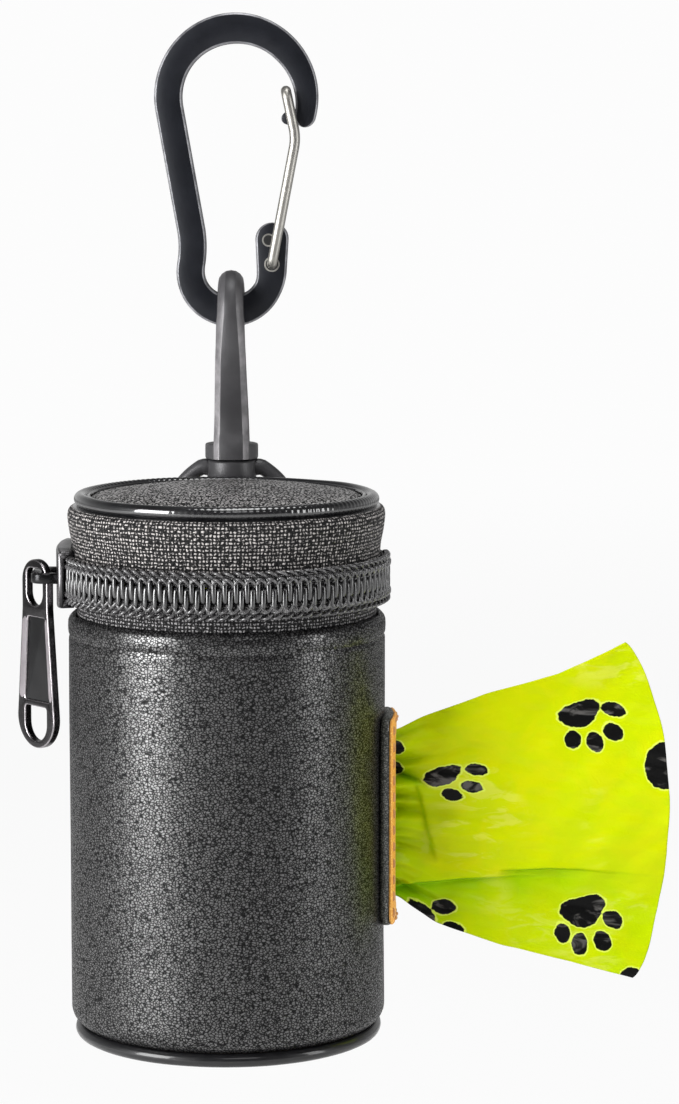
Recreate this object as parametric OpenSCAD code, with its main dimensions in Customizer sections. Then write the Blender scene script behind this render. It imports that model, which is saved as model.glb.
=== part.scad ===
// Dog poop bag dispenser: a leather pouch with a zipped lid, hung on a snap hook and a
// wire-gate carabiner, with the end of the bag roll pulled out through a slot.
// Millimetres, +Z up. The origin is the centre of the carabiner's bow.

/* [Carabiner] */
// Radius of the bow's centreline
bow_r = 10.15; // [9:0.05:12]
// Width of the bar across the frame's plane
bar_w = 3.9; // [3:0.1:4.6]
// Thickness of the bar
bar_t = 3.4; // [2.6:0.1:4]
// Chamfer along the bar's edges
bar_chamfer = 0.45; // [0.2:0.05:0.7]
// Lean of the long leg from upright, degrees
leg_lean = 10; // [8:0.5:12]
// Angle by which the bow goes past level at its nose, degrees
nose_drop = 15; // [8:1:18]
// Radius of the foot's centreline
foot_r = 6.1; // [5.6:0.05:7]
// Height from the bow's centre down to the foot's centre
foot_drop = 25.75; // [24:0.25:30]
// Sideways place of the foot's centre, where everything hangs
hang_x = -0.9; // [-1.4:0.1:-0.5]
// Radius of the boss that holds the gate
gate_boss_r = 2.5; // [2.2:0.1:2.8]
// Height of the gate boss above the foot's centre
gate_boss_rise = 4.9; // [4:0.1:6]
// Height of the gate's pivot above the foot's centre
gate_pivot_rise = 1.2; // [0.5:0.1:2]

/* [Wire gate] */
// Radius of the gate's wire
wire_r = 0.75; // [0.6:0.05:0.85]
// Place of the wire's knee, right of the bow's centre
knee_x = 8.75; // [8.5:0.05:8.9]
// Depth of the wire's knee below the bow's centre
knee_drop = 6.0; // [5.8:0.1:7]
// Gap between the closed gate and the inside of the bow
gate_gap = 0.2; // [0.1:0.05:0.5]
// Height of the wire's top bend above the bow's centre
gate_top = 0.9; // [0.5:0.1:2]

/* [Snap hook] */
// Radius inside the hook's eye
eye_r = 2.85; // [2.8:0.05:3.2]
// Thickness of the hook's rod in its own plane
hook_t = 3.5; // [2.8:0.1:3.8]
// Width of the hook at its top
hook_w_top = 3.6; // [3:0.1:4]
// Width of the hook at its base
hook_w_base = 5.2; // [4.4:0.1:6]
// Length from the eye's centre down to the collar
hook_len = 19.4; // [18:0.1:24]
// Radius of the collar at the hook's base
collar_r = 3.9; // [3.4:0.1:4.4]
// Height of the collar
collar_h = 2.3; // [1.8:0.1:3]
// Thickness of the sprung thumb latch
latch_t = 1.5; // [1.2:0.1:1.8]
// Width of the thumb latch
latch_w = 2.8; // [2.2:0.1:3.2]
// Radius of the pin that the latch turns on
latch_pin_r = 0.6; // [0.5:0.05:0.75]
// Radius of the rivet that joins the hook to its loop
rivet_r = 1.6; // [1.3:0.05:1.9]
// Thickness of the rivet's head
rivet_head_h = 0.9; // [0.7:0.1:1.2]

/* [Loop] */
// Radius of the loop's boss
boss_r = 3.65; // [3.3:0.05:3.8]
// Height of the loop's boss
boss_h = 2.9; // [2.4:0.1:3.4]
// Radius of the loop's arc
loop_r = 9.4; // [8.6:0.1:10.4]
// Radius of the loop's wire
loop_wire_r = 1.1; // [0.9:0.05:1.25]
// Height of the loop's straight bar above its arc's centre
loop_bar_rise = 2.5; // [1.8:0.1:3]

/* [Lid] */
// Height of the piping's middle above the loop's straight bar
piping_rise = 3.9; // [3:0.1:4.5]
// Radius of the piping cord
piping_r = 1.0; // [0.8:0.05:1.2]
// Distance from the pouch's outside in to the middle of the piping
piping_inset = 1.85; // [1.6:0.05:2.6]
// Rise of the leather crown above the piping's middle
crown_rise = 2.2; // [1.2:0.1:3.5]
// Thickness of the crown's leather
crown_t = 1.1; // [0.8:0.1:1.4]
// Thickness of the lid's stiffening disc
lid_board_t = 1.0; // [0.6:0.1:1.4]
// Thickness of the cloth linings
lining_t = 0.45; // [0.3:0.05:0.6]

/* [Zip] */
// Height from the middle of the zip up to the piping's middle
band_h = 11.1; // [10:0.1:13]
// Distance by which the upper tape bulges out past the pouch's wall
band_bulge = 0.05; // [-0.2:0.05:0.15]
// Thickness of the zip tape
tape_t = 0.5; // [0.4:0.05:0.6]
// Distance by which the teeth stand out from the lower tape
teeth_stand = 2.0; // [1.8:0.05:2.3]
// Spacing of the teeth along one tape
tooth_pitch = 1.55; // [1.4:0.05:2]
// Width of one tooth along the tape
tooth_w = 0.66; // [0.5:0.02:0.68]
// Reach of each row of teeth past the middle of the zip
tooth_overlap = 0.9; // [0.6:0.1:1.1]
// Half the height of the closed chain
chain_half_h = 2.9; // [2.5:0.1:3.2]
// Azimuth of the first tooth, seen from above
teeth_from = 176; // [174:1:178]
// Azimuth of the last tooth
teeth_to = 372; // [360:1:380]
// Half the gap between the two tapes
tape_gap = 1.1; // [1:0.05:1.3]
// Height of the stops at the ends of the teeth
stop_size = 1.6; // [1.2:0.1:1.8]

/* [Slider] */
// Half the slider's length as an angle round the pouch
slider_half = 14; // [13:0.5:16]
// Height of the slider
slider_h = 9.3; // [8.6:0.1:10]
// Thickness of the slider's outer plate
slider_t = 0.75; // [0.6:0.05:0.9]
// Radius of the bar that the pull hangs on
crown_bar_r = 0.7; // [0.55:0.05:0.75]
// Distance from the slider's face out to that bar's middle
crown_reach = 2.75; // [2.7:0.05:3.2]
// Half the distance between the two feet of the bar
crown_half = 3.6; // [3.2:0.1:4.2]
// Length of the pull
pull_len = 27.3; // [22:0.1:32]
// Widest width of the pull
pull_w = 9.0; // [8:0.1:10]
// Width of the pull at its eye
pull_eye_w = 6.2; // [5.8:0.1:6.6]
// Thickness of the pull
pull_t = 1.2; // [1:0.05:1.3]
// Turn of the hanging pull from square to the slider, degrees
pull_turn = 40; // [30:1:50]

/* [Pouch] */
// Outer radius of the leather wall
pouch_r = 22.6; // [22.3:0.05:23.4]
// Thickness of the leather wall
leather_t = 1.15; // [0.9:0.05:1.19]
// Distance from the zip's middle down to the leather's top edge
leather_drop = 5.2; // [5:0.1:6.4]
// Height of the leather wall
wall_h = 59.2; // [56:0.1:80]
// Thickness of the stiffening wall inside the leather
board_t = 0.5; // [0.4:0.05:0.6]
// Distance from the pouch's outside in to the middle of the bottom piping
base_inset = 1.5; // [1.3:0.05:2]
// Thickness of the base leather
base_t = 1.2; // [0.9:0.1:1.4]

/* [Slot and patch] */
// Height of the slot
slot_h = 26; // [22:0.5:28]
// Width of the slot
slot_w = 5; // [4:0.1:6]
// Distance from the leather's top edge down to the slot's middle
slot_drop = 29.7; // [24:0.1:32]
// Height of the patch round the slot
patch_h = 30.9; // [30:0.1:34]
// Half the patch's width as an angle round the pouch
patch_half = 15; // [13:0.5:20]
// Thickness of each of the patch's two layers
patch_t = 0.8; // [0.6:0.05:1]
// Length of one stitch
stitch_len = 1.5; // [1:0.1:1.8]
// Radius of the sewing thread
thread_r = 0.24; // [0.18:0.01:0.3]

/* [Back strap] */
// Half the strap's width as an angle round the pouch
strap_half = 16; // [14:0.5:19]
// Thickness of the strap
strap_t = 1.0; // [0.8:0.05:1.1]
// Length of the strap sewn to the pouch, from the zip's middle down
strap_len = 26; // [20:0.5:34]

/* [Bags] */
// Radius of the full roll
roll_r = 17.2; // [12:0.1:17.6]
// Radius of the cardboard core
core_r = 6.5; // [5:0.1:8]
// Length of the roll
roll_h = 60; // [50:0.5:64]
// Height of the film where it leaves the slot
film_neck_h = 24.4; // [20:0.1:25]
// Height of the film at its free end
film_end_h = 49; // [30:1:54]
// Reach of the film out from the patch
film_out = 38.2; // [25:0.1:50]
// Thickness of the gathered film
film_t = 1.6; // [1:0.1:2.4]

/* [Clearances] */
// Running clearance of a pin in its bore
run_gap = 0.05; // [0.02:0.01:0.1]
// Gap between pieces that move past each other
move_gap = 0.15; // [0.1:0.05:0.3]
// Gap between fitted layers
fit_gap = 0.05; // [0.02:0.01:0.1]
// Depth by which teeth and stitches are sunk into their cloth
sink = 0.15; // [0.05:0.01:0.2]

/* [Hidden] */
$fn = 96;
far = 60;

// Carabiner: the leg leaves the bow and the waist meets the foot without a kink.
foot_z = -foot_drop;
waist_x = hang_x - foot_r * cos(leg_lean);
leg_len = (waist_x + bow_r * cos(leg_lean)) / sin(leg_lean);
waist_top = -bow_r * sin(leg_lean) - leg_len * cos(leg_lean);
waist_bottom = foot_z + foot_r * sin(leg_lean);
waist_r = (waist_top - waist_bottom) / (2 * sin(leg_lean));
gate_x = hang_x + foot_r;
gate_z = foot_z + gate_pivot_rise;
wire_y = bar_t / 2 + wire_r + move_gap;
gate_top_x = bow_r - bar_w / 2 - wire_r - gate_gap;

// Radii that follow the pouch's wall, from the tape inside it outwards.
tape_r = pouch_r - leather_t - fit_gap;
teeth_r = tape_r + teeth_stand;
band_bulge_r = pouch_r + band_bulge;
piping_ring_r = pouch_r - piping_inset;
base_ring_r = pouch_r - base_inset;

// Heights, from the foot's bar down to the pouch's bottom.
bar_z = foot_z - foot_r;
collar_top = bar_z - hook_len;
collar_bottom = collar_top - collar_h;
boss_top = collar_bottom - move_gap;
boss_bottom = boss_top - boss_h;
loop_z = boss_top - fit_gap - loop_r;
loop_bar_z = loop_z + loop_bar_rise;
loop_end = asin(loop_bar_rise / loop_r);
piping_z = loop_bar_z + piping_rise;
zip_z = piping_z - band_h;
leather_top = zip_z - leather_drop;
leather_bottom = leather_top - wall_h;
slot_z = leather_top - slot_drop;

// The pouch hangs in front of the loop, just clear of the loop's boss.
pouch_y = -(boss_r + move_gap + piping_ring_r + piping_r);

// Slack where cloth and board must clear a hard piece, and the seams' overlaps.
slack = 0.35;
seam = 0.5;
hem = 2.8;
stitch_in = 1.5;

// Hook: distances are from the middle of its eye.
hook_outer = eye_r + hook_t;
nose_angle = -24;
latch_y = eye_r + latch_t / 2 + 0.2;
cheek_h = 4.6;
slot_y = 0.9;
latch_pivot_z = collar_top + cheek_h - 1.2;
latch_top_z = bar_z + (latch_y + latch_t / 2) * tan(nose_angle) - move_gap;

// Lid, in heights above the zip's middle.
dome_edge_r = piping_ring_r - piping_r - fit_gap;
dome_rise = crown_rise - 0.3;
dome_r = (dome_edge_r * dome_edge_r + dome_rise * dome_rise) / (2 * dome_rise);
dome_z = piping_z + crown_rise - dome_r;
lid_wall_r = tape_r + tape_t;
board_top = piping_z - piping_r - slack;
board_bottom = board_top - lid_board_t;
skirt_bottom = zip_z + slider_h / 2 + slack;

// Zip and slider radii.
stitch_in_r = tape_r - tape_t;
plate_in_r = teeth_r + move_gap;
plate_r = plate_in_r + slider_t;
flange_r = lid_wall_r + move_gap;
under_r = tape_r - tape_t - slack;
under_in_r = under_r - slider_t;
flange_w = slider_h / 2 - chain_half_h - slack;
crown_r = plate_r + crown_reach;

// Layers of the wall, from the leather inwards.
leather_in_r = pouch_r - leather_t;
board_r = leather_in_r - fit_gap;
lining_r = min(board_r - board_t, stitch_in_r) - fit_gap;
lining_top = zip_z - slider_h / 2 - slack;
base_z = leather_bottom - piping_r - fit_gap;
base_inner_r = base_ring_r - piping_r - fit_gap;

// Strap, patch and film.
strap_in_r = band_bulge_r + fit_gap;
strap_r = strap_in_r + strap_t;
strap_end = strap_t / 2 + fit_gap;
tab_gap = 0.2;
patch_mid_r = pouch_r + fit_gap + patch_t;
patch_r = patch_mid_r + fit_gap + patch_t;
film_from = roll_r + 0.3;
film_neck_x = patch_r + 0.4;
film_reach = patch_r + film_out;
film_columns = 16;
film_rows = 24;
pull_eye_half = pull_eye_w / 2;
crown_gap = 0.3;
pull_top = crown_bar_r + crown_gap + 1.3;
eye_half = 1.9;

module at_pouch(azimuth = 0) {
    translate([hang_x, pouch_y, 0]) rotate([0, 0, azimuth]) children();
}

// A wall between two radii and two heights, over the angles from a to b.
module ring(r_in, r_out, z_low, z_high, a = 0, b = 360) {
    rotate([0, 0, a]) rotate_extrude(angle = b - a)
        translate([r_in, z_low]) square([r_out - r_in, z_high - z_low]);
}

// The carabiner bar's section, a rectangle with chamfered corners.
module bar_section(half = false) {
    w = bar_w / 2;
    t = bar_t / 2;
    c = bar_chamfer;
    left = half ? [[0, -t], [0, t]] : [[-w + c, -t], [-w, -t + c], [-w, t - c], [-w + c, t]];
    polygon(concat(left, [[w - c, t], [w, t - c], [w, -t + c], [w - c, -t]]));
}

// A bend of the bar round a centre in the frame's plane, from angle a to angle b.
module bar_bend(centre, r, a, b) {
    translate(centre) rotate([0, 0, a]) rotate_extrude(angle = b - a)
        translate([r, 0]) bar_section();
}

// A straight of the bar from a point, along an angle in the frame's plane.
module bar_straight(from, angle, length) {
    lap = 0.02;
    translate(from) rotate([0, 0, angle]) rotate([90, 0, 90])
        translate([0, 0, -lap]) linear_extrude(length + 2 * lap) bar_section();
}

module carabiner_frame() {
    color("#1c1c1e") difference() {
        rotate([90, 0, 0]) union() {
            bar_bend([0, 0, 0], bow_r, -nose_drop, 180 + leg_lean);
            rotate([0, 0, -nose_drop]) translate([bow_r, 0, 0]) rotate([0, 0, 180])
                rotate_extrude(angle = 180) bar_section(true);
            bar_straight([-bow_r * cos(leg_lean), -bow_r * sin(leg_lean), 0], leg_lean - 90, leg_len);
            bar_bend([waist_x - waist_r * cos(leg_lean), (waist_top + waist_bottom) / 2, 0],
                waist_r, -leg_lean, leg_lean);
            bar_bend([hang_x, foot_z, 0], foot_r, 180 - leg_lean - 0.3, 360);
            bar_straight([gate_x, foot_z, 0], 90, gate_boss_rise);
            translate([gate_x, foot_z + gate_boss_rise, -bar_t / 2]) cylinder(r = gate_boss_r, h = bar_t);
        }
        translate([gate_x, far, gate_z]) rotate([90, 0, 0])
            cylinder(r = wire_r + run_gap, h = 2 * far);
    }
}

// A wire along a list of points, with a ball at each bend and end.
module wire(points, r) {
    for (p = points) translate(p) sphere(r + 0.02);
    for (i = [1:len(points) - 1])
        let (from = points[i - 1], d = points[i] - from, length = norm(d))
        translate(from) rotate([0, acos(d.z / length), atan2(d.y, d.x)]) cylinder(r = r, h = length);
}

module gate_wire() {
    knee = [knee_x, 0, -knee_drop];
    top = [gate_top_x, 0, gate_top];
    foot = [gate_x, 0, gate_z];
    out = [0, wire_y, 0];
    tip = [0, 0.3, 0];
    color("#c9ccd0") wire([foot - tip, foot - out, knee - out, top - out, top + out, knee + out, foot + out,
        foot + tip], wire_r);
}

// Side view of the hook, in heights from the eye's middle; the spine is towards -Y.
module hook_side() {
    base = -hook_len;
    foot = collar_r - 0.3;
    shoulder = base + cheek_h;
    polygon(concat(arc([0, 0], hook_outer, nose_angle, 180), [[-hook_outer + 1.6, shoulder + 4.8],
        [-foot, base], [foot, base], [foot, shoulder], [slot_y, shoulder], [slot_y, shoulder + 0.2],
        [-eye_r / 2, shoulder + 1.8], [-eye_r, shoulder + 8.3]], arc([0, 0], eye_r, 180, nose_angle)));
}

module hook_body() {
    color("#202022") translate([hang_x, 0, bar_z]) difference() {
        union() {
            intersection() {
                rotate([90, 0, 90]) translate([0, 0, -far / 2]) linear_extrude(far) hook_side();
                rotate([90, 0, 0]) translate([0, 0, -far / 2]) linear_extrude(far)
                    polygon([[-hook_w_top / 2, hook_outer], [hook_w_top / 2, hook_outer],
                        [hook_w_base / 2, -hook_len], [-hook_w_base / 2, -hook_len]]);
            }
            translate([0, 0, -hook_len - collar_h]) cylinder(r = collar_r, h = collar_h);
        }
        latch_slot();
        translate([0, 0, -hook_len - collar_h - 1]) cylinder(r = rivet_r, h = collar_h + 3);
        translate([-far / 2, latch_y, latch_pivot_z - bar_z]) rotate([0, 90, 0])
            cylinder(r = latch_pin_r, h = far);
    }
}

// The cut in the hook's base that the latch's foot turns in.
module latch_slot() {
    w = latch_w + 2 * move_gap;
    low = latch_pivot_z - bar_z - latch_t - move_gap;
    translate([-w / 2, slot_y - fit_gap, low]) cube([w, far, cheek_h + 0.4 - hook_len - low]);
}

module latch_pin() {
    length = hook_w_base - 0.3;
    color("#8d9094") translate([hang_x - length / 2, latch_y, latch_pivot_z]) rotate([0, 90, 0])
        cylinder(r = latch_pin_r, h = length);
}

module hook_latch() {
    color("#26262a") difference() {
        union() {
            translate([hang_x - latch_w / 2, latch_y - latch_t / 2, latch_pivot_z])
                cube([latch_w, latch_t, latch_top_z - latch_pivot_z]);
            translate([hang_x - latch_w / 2, latch_y, latch_pivot_z]) rotate([0, 90, 0])
                cylinder(r = latch_t, h = latch_w);
            translate([hang_x - latch_w / 2, latch_y + latch_t / 2, latch_top_z - 6]) rotate([0, 90, 0])
                cylinder(r = 1.2, h = latch_w);
        }
        translate([hang_x - far / 2, latch_y, latch_pivot_z]) rotate([0, 90, 0])
            cylinder(r = latch_pin_r + run_gap, h = far);
    }
}

module swivel_rivet() {
    color("#3a3b3e") translate([hang_x, 0, 0]) {
        translate([0, 0, boss_bottom - fit_gap]) cylinder(r = rivet_r, h = collar_bottom + 1.9 - boss_bottom);
        translate([0, 0, boss_bottom - fit_gap - rivet_head_h]) cylinder(r = rivet_r + 0.9, h = rivet_head_h);
    }
}

module swivel_loop() {
    end = [loop_r * cos(loop_end), 0, loop_bar_z];
    color("#1f1f21") translate([hang_x, 0, 0]) difference() {
        union() {
            translate([0, 0, boss_bottom]) cylinder(r = boss_r, h = boss_h);
            difference() {
                translate([0, 0, loop_z]) rotate([90, 0, 0]) rotate([0, 0, loop_end])
                    rotate_extrude(angle = 180 - 2 * loop_end) translate([loop_r, 0]) circle(loop_wire_r);
                translate([0, 0, boss_top]) cylinder(r = collar_r + 0.4, h = far);
            }
            wire([[-end.x, 0, end.z], end], loop_wire_r);
        }
        translate([0, 0, boss_bottom - far / 2]) cylinder(r = rivet_r + run_gap, h = far);
        translate([0, 0, boss_bottom - far]) cylinder(r = rivet_r + 1.1, h = far - 0.01);
    }
}

// The strap's upper part wraps the loop's bar and lies on the back of the lid.
module hang_tab() {
    half_w = strap_r * sin(strap_half);
    color("#1b1b1c") difference() {
        union() {
            at_pouch() ring(strap_in_r, strap_r, zip_z + strap_end, loop_bar_z, 90 - strap_half, 90 + strap_half);
            translate([hang_x - half_w, 0, loop_bar_z]) rotate([0, 90, 0])
                cylinder(r = loop_wire_r + tab_gap + strap_t, h = 2 * half_w);
        }
        translate([hang_x - far, 0, loop_bar_z]) rotate([0, 90, 0])
            cylinder(r = loop_wire_r + tab_gap, h = 2 * far);
        at_pouch() translate([0, 0, zip_z]) cylinder(r = strap_in_r, h = far);
    }
}

module lid_piping() {
    color("#0f0f10") at_pouch() translate([0, 0, piping_z]) rotate_extrude()
        translate([piping_ring_r, 0]) circle(piping_r);
}

// A slice of the lid's dome, between a depth below its surface and the board.
module dome(depth, r) {
    translate([hang_x, pouch_y, 0]) intersection() {
        translate([0, 0, dome_z]) sphere(dome_r - depth, $fn = 200);
        translate([0, 0, board_top + fit_gap]) cylinder(r = r, h = far);
    }
}

module lid_leather() {
    color("#1d1d1e") difference() {
        dome(0, dome_edge_r);
        dome(crown_t, dome_edge_r + 1);
    }
}

module lid_padding() {
    color("#5a5a58") dome(crown_t + fit_gap, dome_edge_r - seam);
}

module lid_board() {
    color("#7a6a55") at_pouch() translate([0, 0, board_bottom]) cylinder(r = lid_wall_r - seam, h = lid_board_t);
}

module lid_lining() {
    r = lid_wall_r - tape_t - fit_gap;
    color("#2b2b2d") at_pouch() {
        difference() {
            translate([0, 0, skirt_bottom]) cylinder(r = r, h = board_bottom - fit_gap - skirt_bottom);
            translate([0, 0, skirt_bottom - 1])
                cylinder(r = r - lining_t, h = board_bottom - fit_gap - lining_t - skirt_bottom + 1);
        }
    }
}

module zip_tape_upper() {
    rise = piping_z - piping_r - zip_z;
    knee = slider_h / 2 + move_gap;
    inner = lid_wall_r - tape_t;
    bulge = band_bulge_r - tape_t;
    color("#2a2a2c") at_pouch() translate([0, 0, zip_z]) rotate_extrude()
        polygon([[inner, tape_gap], [lid_wall_r, tape_gap], [lid_wall_r, knee],
            [band_bulge_r - 0.25, rise * 0.6], [band_bulge_r, rise * 0.75], [band_bulge_r - 0.15, rise * 0.92],
            [band_bulge_r - 0.8, rise], [bulge - 0.8, rise], [bulge - 0.15, rise * 0.9], [bulge, rise * 0.75],
            [bulge - 0.25, rise * 0.6], [inner, knee]]);
}

module zip_tape_lower() {
    color("#2a2a2c") at_pouch() ring(stitch_in_r, tape_r, leather_top - hem, zip_z - tape_gap);
}

// One row of teeth; up is 1 for the lid's row and -1 for the pouch's.
module teeth_row(up, shift, root_r) {
    step = tooth_pitch / teeth_r * 180 / PI;
    count = floor((teeth_to - teeth_from) / step);
    body_h = chain_half_h + tooth_overlap - tooth_w / 2;
    color("#121213") for (i = [0:count - 1])
        at_pouch(teeth_from + (i + shift) * step) translate([root_r - sink, 0, zip_z])
            mirror([0, 0, up < 0 ? 1 : 0]) rotate([90, 0, 90]) linear_extrude(teeth_r - root_r + sink) {
                translate([-tooth_w / 2, -tooth_overlap + tooth_w / 2]) square([tooth_w, body_h]);
                translate([0, -tooth_overlap + tooth_w / 2]) circle(r = tooth_w / 2, $fn = 24);
            }
}

module zip_teeth_upper() {
    teeth_row(1, 0, lid_wall_r);
}

module zip_teeth_lower() {
    teeth_row(-1, 0.5, tape_r);
}

// A metal stop clamped on a tape's edge at the slider's mouth.
module top_stop(up, tape_out_r) {
    low = tape_gap + move_gap;
    stand = stop_size * 0.7;
    wide = stop_size * 0.9;
    color("#2f2f31") at_pouch(teeth_from - 5)
        translate([tape_out_r - sink, -wide / 2, zip_z + (up > 0 ? low : -low - stop_size)])
        cube([stand, wide, stop_size]);
}

module top_stop_upper() {
    top_stop(1, lid_wall_r);
}

module top_stop_lower() {
    top_stop(-1, tape_r);
}

module bottom_stop() {
    color("#2f2f31") at_pouch(teeth_to + 3)
        translate([tape_r - sink, -stop_size * 0.6, zip_z - chain_half_h])
        cube([stop_size * 0.8, stop_size * 1.2, chain_half_h - tape_gap]);
}

// The slot's outline in a plane square to +X, round at both ends.
module slot_cut(extra) {
    h = slot_h + 2 * extra;
    w = slot_w + 2 * extra;
    translate([lining_r - 3, 0, slot_z]) rotate([90, 0, 90]) linear_extrude(far) {
        square([w, h - w], center = true);
        for (end = [-1, 1]) translate([0, end * (h - w) / 2]) circle(w / 2);
    }
}

module body_leather() {
    lip = 0.5;
    color("#1a1a1b") at_pouch() difference() {
        rotate_extrude() polygon([[leather_in_r, leather_bottom], [pouch_r - 1.1, leather_bottom],
            [pouch_r - 0.4, leather_bottom + 0.45], [pouch_r, leather_bottom + 1.4], [pouch_r, leather_top - lip],
            [pouch_r - lip, leather_top], [leather_in_r, leather_top]]);
        slot_cut(0);
    }
}

module body_board() {
    color("#6b5f50") at_pouch() difference() {
        ring(board_r - board_t, board_r, leather_bottom + 0.4, leather_top - hem - fit_gap);
        slot_cut(0.3);
    }
}

module body_lining() {
    color("#2e2e30") at_pouch() difference() {
        ring(lining_r - lining_t, lining_r, leather_bottom + 0.4, lining_top);
        slot_cut(0.3);
    }
}

module base_leather() {
    color("#1a1a1b") at_pouch() translate([0, 0, base_z - seam]) cylinder(r = base_inner_r, h = base_t);
}

module base_piping() {
    color("#0f0f10") at_pouch() translate([0, 0, base_z]) rotate_extrude()
        translate([base_ring_r, 0]) circle(piping_r);
}

module base_board() {
    color("#6b5f50") at_pouch() translate([0, 0, base_z - seam + base_t + fit_gap])
        cylinder(r = min(base_inner_r, lining_r - lining_t - fit_gap), h = lid_board_t);
}

module base_lining() {
    color("#2e2e30") at_pouch() translate([0, 0, base_z - seam + base_t + 2 * fit_gap + lid_board_t])
        cylinder(r = lining_r - lining_t - fit_gap, h = lining_t);
}

module patch_layer(r_in, color_name) {
    color(color_name) at_pouch() difference() {
        ring(r_in, r_in + patch_t, slot_z - patch_h / 2, slot_z + patch_h / 2, -patch_half, patch_half);
        slot_cut(0);
    }
}

module slot_patch_backing() {
    patch_layer(pouch_r + fit_gap, "#181818");
}

module slot_patch_face() {
    patch_layer(patch_mid_r + fit_gap, "#a35a26");
}

// A stitch on the patch: upright, or along the patch's curve.
module stitch(azimuth, z, upright) {
    at_pouch(azimuth) translate([patch_r - thread_r * 0.5, 0, z])
        rotate(upright ? [0, 0, 0] : [90, 0, 0]) cylinder(r = thread_r, h = stitch_len, center = true, $fn = 16);
}

module slot_stitches() {
    column = patch_half - 3;
    run = patch_h - 2 * stitch_in;
    rows = floor(run / (stitch_len * 1.55));
    pitch = run / rows;
    across = 3;
    color("#c98a4a") {
        for (side = [-1, 1], i = [0.5:rows - 0.5])
            stitch(side * column, slot_z - run / 2 + i * pitch, true);
        for (end = [-1, 1], i = [1:across])
            stitch(column * (2 * i / (across + 1) - 1), slot_z + end * (patch_h / 2 - stitch_in + seam), false);
    }
}

module hinge_strap() {
    color("#1b1b1c") at_pouch()
        ring(strap_in_r, strap_r, zip_z - strap_len, zip_z - strap_end, 90 - strap_half, 90 + strap_half);
}

module strap_stitches() {
    run = strap_len - leather_drop - 2 * stitch_in;
    rows = floor(run / (stitch_len * 1.55));
    pitch = run / rows;
    color("#141414") for (side = [-1, 1], i = [0.5:rows - 0.5])
        at_pouch(90 + side * (strap_half - 3.5))
            translate([strap_r - thread_r * 0.5, 0, leather_top - stitch_in - i * pitch])
            cylinder(r = thread_r, h = stitch_len, center = true, $fn = 16);
}

// Channel of the slider: an outer and an inner plate with turned edges, joined by a wedge.
module slider_body() {
    mid = 180;
    a = mid - slider_half;
    b = mid + slider_half;
    low = zip_z - slider_h / 2;
    high = zip_z + slider_h / 2;
    color("#19191a") at_pouch() {
        ring(plate_in_r, plate_r, low, high, a, b);
        ring(under_in_r, under_r, low, high, a, b);
        for (z = [low, high - flange_w])
            ring(flange_r, plate_in_r + 0.05, z, z + flange_w, a, b);
        ring(under_r - 0.05, plate_in_r + 0.05, zip_z - tape_gap + 0.25, zip_z + tape_gap - 0.25, a, a + 6);
    }
}

module slider_crown() {
    bend = 1.1;
    foot = plate_r - 0.55;
    color("#19191a") at_pouch(180) translate([0, 0, zip_z]) {
        for (side = [-1, 1]) {
            translate([foot, side * crown_half, 0]) rotate([0, 90, 0])
                cylinder(r = crown_bar_r, h = crown_r - bend - foot);
            mirror([0, side < 0 ? 1 : 0, 0]) translate([crown_r - bend, crown_half - bend, 0])
                rotate_extrude(angle = 90) translate([bend, 0]) circle(crown_bar_r);
        }
        translate([crown_r, crown_half - bend, 0]) rotate([90, 0, 0])
            cylinder(r = crown_bar_r, h = 2 * (crown_half - bend));
    }
}

// Points of an arc in a plane, from angle a to angle b.
function arc(centre, r, a, b, steps = 32) =
    [for (i = [0:steps]) centre + r * [cos(a + (b - a) * i / steps), sin(a + (b - a) * i / steps)]];

// The pull's outline, in heights from the crown's bar, drawn in by an inset.
module pull_outline(inset) {
    bottom = pull_top - pull_len + pull_w / 2;
    eye_r = pull_eye_half - inset;
    shoulder = -slider_h / 2 - 0.1;
    polygon(concat(arc([0, pull_top - pull_eye_half], eye_r, 0, 180), [[-eye_r, shoulder]],
        arc([0, bottom], pull_w / 2 - inset, 180, 360), [[eye_r, shoulder]]));
}

// A hole with a round bottom and a square top, from a low to a high end.
module pull_hole(r, low, high) {
    polygon(concat(arc([0, low + r], r, 180, 360), [[r, high], [-r, high]]));
}

module pull_tab() {
    eye_top = crown_bar_r + crown_gap;
    eye_h = 5.4;
    hole_r = 2.6;
    hole_low = pull_top - pull_len + 1.05;
    hole_top = hole_low + hole_r + 2.4;
    panel_top = -slider_h / 2 - 1.4;
    recess = 0.2;
    color("#161617") at_pouch(180) translate([crown_r, 0, zip_z]) rotate([0, 0, 90 + pull_turn])
        rotate([90, 0, 0]) difference() {
            translate([0, 0, -pull_t / 2]) linear_extrude(pull_t) difference() {
                pull_outline(0);
                pull_hole(eye_half, eye_top - eye_h, eye_top);
                pull_hole(hole_r, hole_low, hole_top);
            }
            for (face = [pull_t / 2 - recess, -pull_t / 2 - 1])
                translate([0, 0, face]) linear_extrude(1 + recess) intersection() {
                    pull_outline(1.15);
                    translate([-pull_w, hole_top + 0.9]) square([2 * pull_w, panel_top - hole_top - 0.9]);
                }
        }
}

module roll_core() {
    color("#a58a66") at_pouch() ring(core_r - 0.8, core_r, roll_bottom(), roll_bottom() + roll_h);
}

module roll_film() {
    color("#b8ee1c") at_pouch()
        ring(core_r + fit_gap, roll_r, roll_bottom(), roll_bottom() + roll_h);
}

function roll_bottom() = base_z - seam + base_t + 2 * fit_gap + lid_board_t + lining_t + 0.3;

// Half the film's height at a distance from the pouch's axis.
function film_half(x) =
    let (s = max(0, (x - film_neck_x) / (film_reach - film_neck_x)))
    film_neck_h / 2 + (film_end_h - film_neck_h) / 2 * pow(s, 0.8);

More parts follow.
